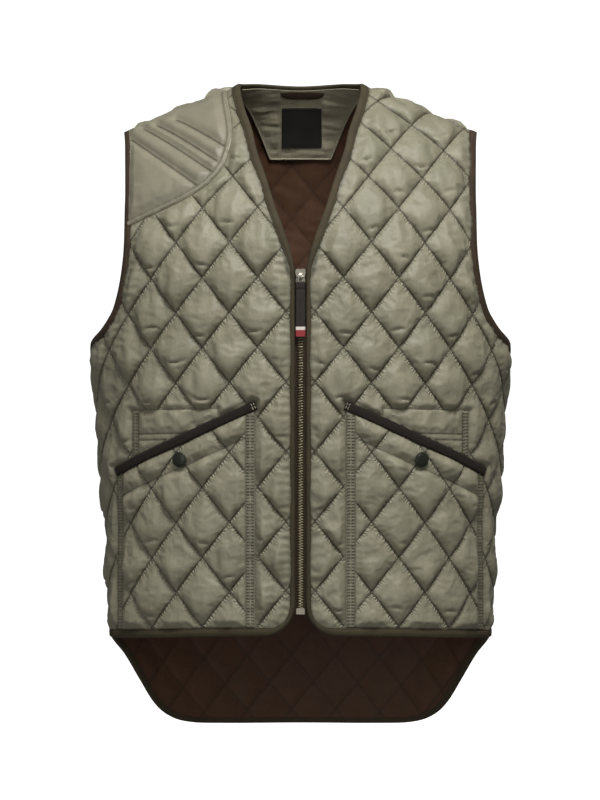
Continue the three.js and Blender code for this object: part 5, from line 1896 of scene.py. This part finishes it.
    def snap(self, side: Side) -> None:
        """Builds the domed cap of the snap."""
        profile = (
            (0.01, 2.55), (2.4, 2.5), (4.6, 2.3), (6.0, 1.95), (6.7, 1.55), (7.0, 1.35), (7.35, 1.5),
            (7.9, 1.45), (8.25, 1.05), (8.3, 0.55), (8.1, 0.15), (7.4, -0.9), (0.01, -0.9),
        )
        spot = np.array([self.shape.snap])
        foot = side.turn(FRONT.place(spot, 6.1))[0]
        out = Vector(side.turn(FRONT.out(spot))[0])
        turns = np.linspace(0, 2 * math.pi, 48, endpoint=False)
        rings = np.array([[(r * math.cos(t), r * math.sin(t), h) for r, h in profile] for t in turns])
        turned = np.array(out.to_track_quat("Z", "Y").to_matrix())
        piece = swept(f"snap_{side.value}", rings @ turned.T + foot, closed=True)
        worn(piece, (self.finish.cap,), "cap", [f"snap_cap_{side.value}"])


@dataclass
class ShoulderPatch:
    """The smooth patch on one shoulder, with its sewn channels and double-stitched edge."""

    finish: Finishes
    shape: PatchShape = PATCH
    filling: Filling = Filling(slack=0.006, most_slack=0.03, pressure=8.0)

    def build(self) -> None:
        """Builds the patch."""
        outline = self.shape.outline()
        lines = self.shape.lines(outline)
        edge = self.shape.edge()
        inner_edge = offset_line(edge, self.shape.edge_band)
        within = inside(outline, inner_edge) & (off_outline(outline, inner_edge) > 2)
        band = inner_edge[within]
        cloth = Cloth.cut(outline, [*lines, band], 2.4)
        flat = cloth.flat
        far = np.min([off_path(run, flat) for run in lines], axis=0)
        edge_far = off_path(edge, flat)
        band_far = off_path(band, flat)
        room = np.minimum(np.minimum(far, band_far), off_outline(outline, flat))
        across = self.shape.across(flat)
        nearest = np.abs(across[:, None] - np.array(self.shape.channels)).min(axis=1)
        full = (
            (40, 0.8), (74.5, 0), (85, 1), (96.6, 0), (103, 0.75), (109.8, 0), (119, 0.9), (128.3, 0),
            (150, 0.8),
        )
        between = np.interp(across, *np.array(full).T)
        banded = edge_far < self.shape.edge_band
        share = np.where(banded, 0.12, smooth_step(room / 10) * (0.78 + 0.22 * between))
        swell = self.shape.puff * share * smooth_step(nearest / 6 + (far > 6))
        heights = self.shape.seam + swell + 0.2 * smooth_noise(flat, 30, 5) * smooth_step(room / 8)
        heights += 0.5 * banded * smooth_step(edge_far / 1.5) * smooth_step(band_far / 1.5)
        heights -= 1.0 * (1 - smooth_step(edge_far / 1.2))
        sewn = (far < ON_LINE) | (band_far < ON_LINE) | banded
        sewn[cloth.rim().ravel()] = True
        gathered = np.exp(-room / 8) * 0.6
        spots = self.filling.settle(FRONT.place(flat, heights), cloth.triangles, sewn, gathered)
        sheets = Sheets(FRONT, cloth, level(self.shape.base), 8.0, True)
        # Painted shade in the channels and along the edge band, and a wider band inside it that is stronger
        # low on the patch, where its face turns down.
        under = np.exp(-band_far / 3.0) * (edge_far > self.shape.edge_band)
        under *= smooth_step((215 - flat[:, 1]) / 40)
        groove_shade = np.max([np.exp(-far / 1.4), np.exp(-band_far / 1.2) * 0.7, under * 0.8], axis=0)
        piece = sheets.build("shoulder_patch", spots, groove_shade)
        worn(piece, (self.finish.patch, self.finish.patch), "shell", ["shoulder_patch_right"])
        row = offset_line(edge, 1.3)
        rows = split_where(row, inside(outline, row))
        runs = [laid_run(FRONT, run, self.shape.seam + 0.2, Side.RIGHT) for run in [*lines, band]]
        runs += [laid_run(FRONT, run, self.shape.seam + 0.35, Side.RIGHT) for run in rows]
        stitches = Sewing(2.8, seed=9).along("patch_stitches", runs, self.finish.thread)


@dataclass
class Inside:
    """What shows inside the back: the quilted lining, the neck facing, the bare label and the tab."""

    finish: Finishes
    quilt: Quilt = field(default_factory=lambda: Quilt(51.5, 63.0, -10.6, -414.0))
    label: tuple[float, float, float, float] = (-22.4, 25.2, 237.6, 287.4)
    tab_centre: float = 2.1
    facing_rows: tuple[tuple[float, float], ...] = (
        (-74, 322), (-63.3, 293.8), (-36.2, 222.8), (36.2, 222.8), (63.3, 293.8), (74, 322),
    )

    def lining(self) -> None:
        """Builds the back's quilted lining."""
        outline = PATTERN.back_outline()
        lines = self.quilt.lines(outline, 3.6, 1.0)
        cloth = Cloth.cut(outline, lines, 3.8)
        flat = cloth.flat
        far = self.quilt.distance(flat)
        room = off_outline(outline, flat)
        share = self.quilt.puff(flat) * (1 + 0.2 * smooth_noise(flat, 40, 71))
        crease = 0.35 * smooth_noise(flat * np.array([0.5, 1.6]), 16, 72) * smooth_step(far / 6)
        full = 2.4 - 1.3 * smooth_step((flat[:, 1] + 40) / 120)
        depth = -1.5 - full * share * smooth_step(room / 16) - crease * smooth_step(room / 10)
        sheets = Sheets(BACK, cloth, level(-0.8), 12.0, inward=True)
        # Painted shade along the lining's stitched lines.
        piece = sheets.build("back_lining_panel", BACK.place(flat, depth), np.exp(-far / 1.1))
        worn(piece, (self.finish.lining, self.finish.lining), "lining", ["back_lining"])
        runs = [laid_run(BACK, run, -1.6) for run in lines]
        stitches = Sewing(3.4, seed=8).along("lining_stitches", runs, self.finish.dark_thread, "lining")

    def facing(self) -> None:
        """Builds the facing below the back neck, with its piped edge."""
        neck = PATTERN.back_neck.shifted(2.0)
        neck = neck[np.abs(neck[:, 0]) < 68]
        sides = spaced(np.array(self.facing_rows, float), 2.0)
        outline = joined([neck, sides], 1.0)
        cloth = Cloth.cut(outline, [], 2.6)
        flat = cloth.flat
        room = off_outline(outline, flat)
        drawn = smooth_noise(flat * np.array([0.3, 1.5]), 22, 81)
        drawn += 0.6 * smooth_noise(flat * np.array([0.5, 2.4]), 14, 82)
        calm = np.where((np.abs(flat[:, 0]) < 27) & (flat[:, 1] > 234), 0.25, 1)
        depth = -4.5 - 0.9 * smooth_step(room / 12) - 1.25 * drawn * smooth_step(room / 9) * calm
        sheets = Sheets(BACK, cloth, level(-3.6), 10.0, inward=True)
        piece = sheets.build("neck_facing_panel", BACK.place(flat, np.minimum(depth, -3.9)))
        worn(piece, (self.finish.facing, self.finish.facing), "facing", ["neck_facing"])
        edge, radius = offset_line(sides[5:-5], 0.6), 0.9
        rows = []
        for t in np.linspace(0, 2 * math.pi, 8, endpoint=False):
            rows.append(BACK.place(offset_line(edge, radius * math.cos(t)), -4.6 + radius * math.sin(t)))
        piping = worn(swept("facing_piping", np.stack(rows, 1)), (self.finish.piping,), "facing")

    def neck_label(self) -> None:
        """Builds the label, which is bare, with its stitched edge."""
        left, right, low, high = self.label
        corners = np.array([(left, low), (right, low), (right, high), (left, high), (left, low)], float)
        outline = joined([spaced(corners, 2.4)])
        cloth = Cloth.cut(outline, [], 2.8)
        flat = cloth.flat
        room = off_outline(outline, flat)
        waves = 0.25 * smooth_noise(flat, 40, 91)
        depth = -6.3 - waves * smooth_step(room / 6) - 0.3 * smooth_step(room / 3)
        sheets = Sheets(BACK, cloth, level(-5.6), 8.0, inward=True)
        piece = sheets.build("neck_label_panel", BACK.place(flat, depth))
        worn(piece, (self.finish.label, self.finish.label), "label", ["label"])
        inset = corners + np.sign(np.array([0, (low + high) / 2]) - corners) * 1.3
        runs = [laid_run(BACK, spaced(inset[k: k + 2], 2.0), -6.7) for k in range(4)]
        sewing = Sewing(2.0, (1.4, 0.45, 0.4), seed=4)
        stitches = sewing.along("label_stitches", runs, self.finish.dark_thread, "label")

    def tab(self) -> None:
        """Builds the half-moon tab under the back neck."""
        turns = np.linspace(0, math.pi, 44)
        squared = np.sign(np.cos(turns)) * np.abs(np.cos(turns)) ** 0.6
        outline = np.stack([self.tab_centre - 26.5 * squared, 309.5 - 10.5 * np.sin(turns) ** 0.8], 1)
        outline = joined([spaced(outline, 1.6), spaced(outline[[-1, 0]], 1.6)], 0.9)
        cloth = Cloth.cut(outline, [], 2.2)
        room = off_outline(outline, cloth.flat)
        depth = -6.2 - 0.5 * smooth_step(room / 2.5)
        sheets = Sheets(BACK, cloth, level(-5.4), 6.0, inward=True)
        piece = sheets.build("half_moon_tab", BACK.place(cloth.flat, depth))
        worn(piece, (self.finish.arm_tape, self.finish.arm_tape), "tape", ["neck_tab"])


@dataclass
class Bindings:
    """The folded tapes round every edge."""

    finish: Finishes
    broader: float = 2.0
    front_width: float = 7.5
    deep: float = -2.1
    ridge: float = 0.16

    def _sections(
        self, half: Half, edge: Edge, width: Array | float, below: Array | float, seed: int
    ) -> Array:
        """Rings of a folded tape along an edge.

        Args:
            half: The half of the figure it lies on.
            edge: The edge.
            width: Width of the tape at each point.
            below: Height of its hidden face.
            seed: Seed of its unevenness.

        Returns:
            Rings of points, in millimetres.
        """
        above = PATTERN.widths.above
        count = len(edge.points)
        width = np.broadcast_to(width, count)
        below = np.broadcast_to(below, count)
        places = np.stack([edge.lengths, np.zeros(count)], 1)
        wave = smooth_noise(places, 17, seed) * self.ridge
        profile = (
            (width - 0.3, below), (1.2, below), (0.35, below + 0.5), (0, (below + above) / 2),
            (0.3, above - 0.9), (1.2, above - 0.1 + wave), (width / 2, above + 0.15 + wave),
            (width - 2.2, above + 0.05 + wave),
            (width - 1.7, above - 0.35 + wave), (width - 1.2, above - 0.05 + wave),
            (width - 0.4, above - 0.35 + wave), (width, above - 1.2),
        )
        return np.stack([half.place(edge.shifted(inward), height) for inward, height in profile], axis=1)

    def _add(
        self, name: str, rings: Array, tape: bpy.types.Material, node: str,
        closed: bool = False,
    ) -> None:
        """Adds a binding and hides the solid that it replaces.

        Args:
            name: Name of the piece.
            rings: Its sections.
            tape: Its finish.
            node: Solid that it replaces.
            closed: Whether it runs round an opening.
        """
        piece = swept(name, rings, closed)
        worn(piece, (tape,), "tape", [node])

    def build(self) -> None:
        """Builds every binding."""
        widths = PATTERN.widths
        flip = np.array([-1, 1, 1])
        rise = self._sections(FRONT, PATTERN.neck, PATTERN.neck_width(), widths.below, 1)
        ends = smooth_step(np.minimum(PATTERN.back_neck.lengths, PATTERN.back_neck.lengths[::-1]) / 8)
        low = widths.below + (-0.2 - widths.below) * ends
        round_neck = self._sections(BACK, PATTERN.back_neck, widths.neck, low, 2)
        neck = np.concatenate([rise, round_neck[1:-1], (rise * flip)[::-1]])
        self._add("neck_tape", neck, self.finish.tape, "neck_binding")
        for side in Side:
            rings = self._sections(FRONT, PATTERN.front_edge, PATTERN.edge_width(), widths.below, 3)
            rings, node = side.turn(rings), f"front_binding_{side.value}"
            self._add(f"front_tape_{side.value}", rings, self.finish.tape, node)
            fore = self._sections(FRONT, PATTERN.front_arm, widths.armhole + self.broader, self.deep, 4)
            rear = self._sections(BACK, PATTERN.back_arm, widths.armhole + self.broader, self.deep, 5)
            rings = side.turn(np.concatenate([fore, rear[1:-1][::-1]]))
            node = f"armhole_binding_{side.value}"
            self._add(f"armhole_tape_{side.value}", rings, self.finish.arm_tape, node, True)
        tail = self._sections(BACK, PATTERN.tail, widths.tail, self.deep, 6)
        self._add("tail_tape", tail, self.finish.tape, "tail_binding")


@dataclass
class Zip:
    """The zip: tapes, teeth, box, slider and the pull that hangs from it."""

    finish: Finishes
    foot: float = -586.0
    top: float = -214.5
    face: float = -139.0
    hinge_z: float = -222.4
    pull_half: float = 5.2
    fold_top: float = -227.8
    seam: float = -236.2
    tab_foot: float = -288.0

    @property
    def hinge_y(self) -> float:
        """Depth of the pull's hinge."""
        return self.face - 4.6

    def _run(self, low: float, high: float, u: float, step: float = 3.0) -> Array:
        """A path up the centre front between two levels."""
        levels = np.linspace(low, high, max(2, int((high - low) / step)))
        return np.stack([np.full_like(levels, u), levels - RISE + SEAM_START], 1)

    def tapes(self, side: Side) -> None:
        """Builds one tape, with the cord along its edge."""
        run = self._run(self.foot, self.top, 0.0)
        profile = (
            (0.35, -2.6), (16, -2.6), (16, -1.7), (4.2, -1.7), (3.4, -0.9), (2.2, -0.6), (1.0, -0.9),
            (0.35, -1.7),
        )
        rings = np.stack([FRONT.place(run + np.array([u, 0]), w) for u, w in profile], 1)
        piece = swept(f"zip_cloth_{side.value}", side.turn(rings))
        worn(piece, (self.finish.zip_tape,), "tape", [f"zip_tape_{side.value}"])

    def teeth(self) -> None:
        """Builds the chain of teeth."""
        low, high = self.foot + 6.5, self.top - 13.5
        pitch = 2.9
        runs = []
        for sign, shift in ((1, 0.0), (-1, pitch / 2)):
            path = self._run(low + shift, high, sign * 1.05, 2.0)
            runs.append(laid_run(FRONT, path, 0.3))
        sewing = Sewing(pitch, (1.55, 4.0, 3.0), Bead.TOOTH, 0.02, 2)
        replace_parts(sewing.along("zip_teeth", runs, self.finish.teeth, "metal"), "zip_chain")

    def _plate(
        self, name: str, outline: Sequence[tuple[float, float]], front: float, rear: float, bevel: float
    ) -> bpy.types.Object:
        """A flat part facing forward, with rounded edges.

        Args:
            name: Name of the piece.
            outline: Its outline, x and z in millimetres.
            front: Depth of its front face.
            rear: Depth of its rear face.
            bevel: Radius of its edges.

        Returns:
            The piece.
        """
        count = len(outline)
        points = [(x * MM, y * MM, z * MM) for y in (front, rear) for x, z in outline]
        faces = [tuple(range(count)), tuple(range(2 * count - 1, count - 1, -1))]
        faces += [(k, (k + 1) % count, (k + 1) % count + count, k + count) for k in range(count)]
        mesh = bpy.data.meshes.new(name)
        mesh.from_pydata(points, [], faces)
        outward_faces(mesh)
        piece = put(name, mesh)
        rounded = piece.modifiers.new("rounded", "BEVEL")
        rounded.width = bevel * MM
        rounded.segments = 3
        rounded.limit_method = "ANGLE"
        rounded.angle_limit = math.radians(40)
        made = bpy.data.meshes.new_from_object(piece.evaluated_get(bpy.context.evaluated_depsgraph_get()))
        bpy.data.objects.remove(piece)
        made.name = name
        sharpen(made, 35)
        return put(name, made)

    def box(self) -> None:
        """Builds the box that stops the chain at its foot."""
        y = self.face_at(self.foot + 3)
        rows = ((4, 0), (4, 4.6), (3.2, 5.7), (-3.2, 5.7), (-4, 4.6))
        outline = [(-4, self.foot), *((x, self.foot + z) for x, z in rows)]
        piece = self._plate("zip_stop", outline, y - 2.2, y + 1.2, 0.5)
        worn(piece, (self.finish.nickel,), "metal", ["zip_box"])

    def face_at(self, z: float) -> float:
        """Depth of the centre front at a level."""
        return float(FRONT.place(np.array([(0.0, z - RISE + SEAM_START)]), 0)[0, 1])

    def slider(self) -> None:
        """Builds the slider: its shield-shaped body and the bridge that holds the pull."""
        top, low = self.top, self.top - 13
        half = [
            (3.4, low + 0.8), (3.9, low + 3.5), (4.6, low + 7.5), (5.0, low + 10), (4.7, top - 0.8),
            (3.6, top), (1.2, top),
        ]
        body = [(-2.0, low), (2.0, low), *half, (0, top - 1.0), *((-x, z) for x, z in reversed(half))]
        upper = self._plate("slider_body", body, self.face - 3.2, self.face - 1.7, 0.5)
        lower = self._plate("slider_back", body, self.face - 0.1, self.face + 1.3, 0.4)
        square = [(-1.1, top - 5), (1.1, top - 5), (1.1, top - 1.2), (-1.1, top - 1.2)]
        post = self._plate("slider_post", square, self.face - 1.9, self.face, 0.2)
        count = 25
        turns = np.linspace(math.pi, 0, count)
        reach = 4.0
        rise = 4.4 * np.sin(turns) ** 0.55
        path = np.stack([np.zeros(count), self.face - 3.0 - rise, self.hinge_z + reach * np.cos(turns)], 1)
        corners = [(1.6, 0.35), (1.2, 0.6), (-1.2, 0.6), (-1.6, 0.35), (-1.6, -0.4), (1.6, -0.4)]
        ring = []
        for k in range(count):
            along = toward(path[max(k - 1, 0)], path[min(k + 1, count - 1)])
            out = np.cross(along, (1, 0, 0))
            ring.append([path[k] + np.array([x, 0, 0]) + out * d for x, d in corners])
        bridge = swept("slider_bridge", np.array(ring))
        piece = merged("zip_runner", [upper, lower, post, bridge])
        worn(piece, (self.finish.nickel,), "metal", ["zip_slider"])

    def pull(self) -> None:
        """Builds the link and the webbing tab that hang from the slider."""
        top = self.hinge_z + 0.9
        half, length, bar = self.pull_half, 11.5, 0.85
        steps, radius = 9, 2.2
        inner = half - bar
        corners = [(1, 0, 0), (-1, 0, 1), (-1, -1, 2), (1, -1, 3)]
        path = []
        for sx, sz, quarter in corners:
            cx = sx * (inner - radius)
            cz = (top - bar - radius) if sz == 0 or quarter == 1 else (top - length + bar + radius)
            for t in np.linspace(quarter * math.pi / 2, (quarter + 1) * math.pi / 2, steps):
                path.append((cx + radius * math.cos(t), self.hinge_y, cz + radius * math.sin(t)))
        path = np.array(path)
        turns = np.linspace(0, 2 * math.pi, 10, endpoint=False)
        rings = []
        for k in range(len(path)):
            side = np.cross(toward(path[k - 1], path[(k + 1) % len(path)]), (0, 1, 0))
            deep = np.array([0, 0.94, 0])
            rings.append([path[k] + bar * (math.cos(t) * side + math.sin(t) * deep) for t in turns])
        ring = swept("pull_ring", np.array(rings), closed=True)
        worn(ring, (self.finish.nickel,), "metal", ["pull_link"], Body.PULL)
        self._tab()

    def _tab(self) -> None:
        """Builds the webbing tab: folded over the link, sewn below it and closed at its foot."""
        levels = np.concatenate([
            np.linspace(self.fold_top, self.fold_top - 1.6, 6),
            np.linspace(self.fold_top - 2.2, self.seam + 0.6, 9),
            np.linspace(self.seam, self.tab_foot, 40),
        ])
        shape = [
            (-1, 0), (-0.96, 0.6), (-0.84, 0.95), (-0.7, 0.82), (-0.3, 1), (0.3, 1), (0.7, 0.82),
            (0.84, 0.95), (0.96, 0.6), (1, 0), (0.96, -0.6), (0.84, -0.95), (-0.84, -0.95), (-0.96, -0.6),
        ]
        rings = []
        for z in levels:
            width = self.pull_half - 0.3 * math.exp(-(((z - self.seam) / 0.8) ** 2))
            width -= 1.1 * max(0.0, 1 - (z - self.tab_foot) / 1.1) ** 2
            thick = 1.0 + 0.35 * float(smooth_step((z - self.seam) / 3))
            thick -= 0.35 * math.exp(-(((z - self.seam) / 0.7) ** 2))
            thick *= 0.45 + 0.55 * float(smooth_step((z - self.tab_foot + 0.4) / 1.2))
            thick *= 0.45 + 0.55 * float(smooth_step((self.fold_top + 0.3 - z) / 1.5))
            rings.append([(width * x, self.hinge_y - thick * y, z) for x, y in shape])
        piece = swept("pull_webbing", np.array(rings))
        worn(piece, (self.finish.webbing,), "tab", ["pull_tab"], Body.PULL)
        row = np.array([(x, self.hinge_y - 0.75, self.seam) for x in np.linspace(-4.4, 4.4, 8)])
        outs = np.tile((0.0, -1.0, 0.0), (8, 1))
        sewing, thread = Sewing(1.3, (0.95, 0.4, 0.4), seed=3), self.finish.dark_thread
        seam = sewing.along("pull_seam", [(row, outs)], thread, "tab", Body.PULL)


def merged(name: str, pieces: Sequence[bpy.types.Object]) -> bpy.types.Object:
    """Several pieces as one."""
    points, faces, start = [], [], 0
    for piece in pieces:
        points += [tuple(v.co) for v in piece.data.vertices]
        faces += [tuple(start + k for k in face.vertices) for face in piece.data.polygons]
        start = len(points)
        mesh = piece.data
        bpy.data.objects.remove(piece)
        bpy.data.meshes.remove(mesh)
    mesh = bpy.data.meshes.new(name)
    mesh.from_pydata(points, [], faces)
    sharpen(mesh, 35)
    return put(name, mesh)


@dataclass
class Studio:
    """A pale round studio: a floor that curves up into a wall, soft lights and the camera."""

    floor: float = -0.86
    wall: float = 12.0
    curve: float = 1.0
    top: float = 12.0
    aim: tuple[float, float, float] = (0, 0, -0.35)
    eye: tuple[float, float, float] = (-0.00056, -3.5, -0.355)
    focal_length: float = 187.5
    daylight: float = 0.14

    def backdrop(self) -> None:
        """Builds the floor and the wall, which are seen but throw no light back."""
        rows = []
        for t in np.linspace(0, math.pi / 2, 14):
            bend = self.curve * (1 - math.cos(t))
            rows.append((self.wall - self.curve * (1 - math.sin(t)), self.floor + bend))
        rows.append((self.wall, self.top))
        sides = 64
        turns = np.linspace(0, 2 * math.pi, sides, endpoint=False)
        points = [(r * math.cos(t), r * math.sin(t), z) for r, z in rows for t in turns]
        faces = [tuple(range(sides))]
        for low in range(0, sides * (len(rows) - 1), sides):
            ends = [(s, (s + 1) % sides) for s in range(sides)]
            faces += [(low + s, low + sides + s, low + sides + e, low + e) for s, e in ends]
        mesh = bpy.data.meshes.new("backdrop")
        mesh.from_pydata(points, [], faces)
        piece = put("backdrop", mesh)
        shader = Shader("studio white")
        white = {"Base_Color": (0.8, 0.8, 0.8, 1), "Emission_Color": (1, 1, 1, 1), "Emission_Strength": 1.0}
        piece.data.materials.append(shader.finish(**white))
        piece.visible_diffuse = piece.visible_glossy = piece.visible_shadow = False

    def light(self, name: str, place: tuple[float, float, float], size: float, power: float) -> None:
        """Adds a soft light aimed at the middle of the vest."""
        lamp = bpy.data.lights.new(name, "AREA")
        lamp.shape = "SQUARE"
        lamp.size = size
        lamp.energy = power
        piece = bpy.data.objects.new(name, lamp)
        piece.location = place
        piece.rotation_euler = (Vector(self.aim) - Vector(place)).to_track_quat("-Z", "Y").to_euler()
        bpy.context.scene.collection.objects.link(piece)

    def camera(self) -> None:
        """Adds the camera."""
        lens = bpy.data.cameras.new("camera")
        lens.sensor_fit = "HORIZONTAL"
        lens.sensor_width = 36.0
        lens.lens = self.focal_length
        piece = bpy.data.objects.new("camera", lens)
        piece.location = self.eye
        piece.rotation_euler = (math.pi / 2, 0, 0)
        bpy.context.scene.collection.objects.link(piece)
        bpy.context.scene.camera = piece

    def build(self) -> None:
        """Builds the studio."""
        self.backdrop()
        self.camera()
        self.light("key", (0.35, -1.7, 1.9), 0.9, 66)
        self.light("fill", (-1.0, -3.0, -0.4), 1.8, 13)
        self.light("top", (0.3, -0.9, 2.1), 1.2, 4)
        world = bpy.data.worlds.new("studio")
        world.use_nodes = True
        sky = next(n for n in world.node_tree.nodes if n.type == "BACKGROUND")
        sky.inputs["Color"].default_value = (1, 1, 1, 1)
        sky.inputs["Strength"].default_value = self.daylight
        bpy.context.scene.world = world
        bpy.context.scene.view_settings.view_transform = "Standard"


def main() -> None:
    """Builds every piece in order."""
    logging.basicConfig(level=logging.INFO, format="%(message)s")
    Studio().build()
    finish = Finishes()
    zipper = Zip(finish)
    pockets = Pockets(finish)
    panels = Panels(finish)
    for side in Side:
        panels.front(side)
        pockets.bag(side)
        pockets.over(side)
        pockets.trim(side)
        pockets.snap(side)
        zipper.tapes(side)
    panels.back()
    ShoulderPatch(finish).build()
    inner = Inside(finish)
    inner.lining()
    inner.facing()
    inner.neck_label()
    inner.tab()
    Bindings(finish).build()
    zipper.teeth()
    zipper.box()
    zipper.slider()
    zipper.pull()


if __name__ == "__main__":
    main()
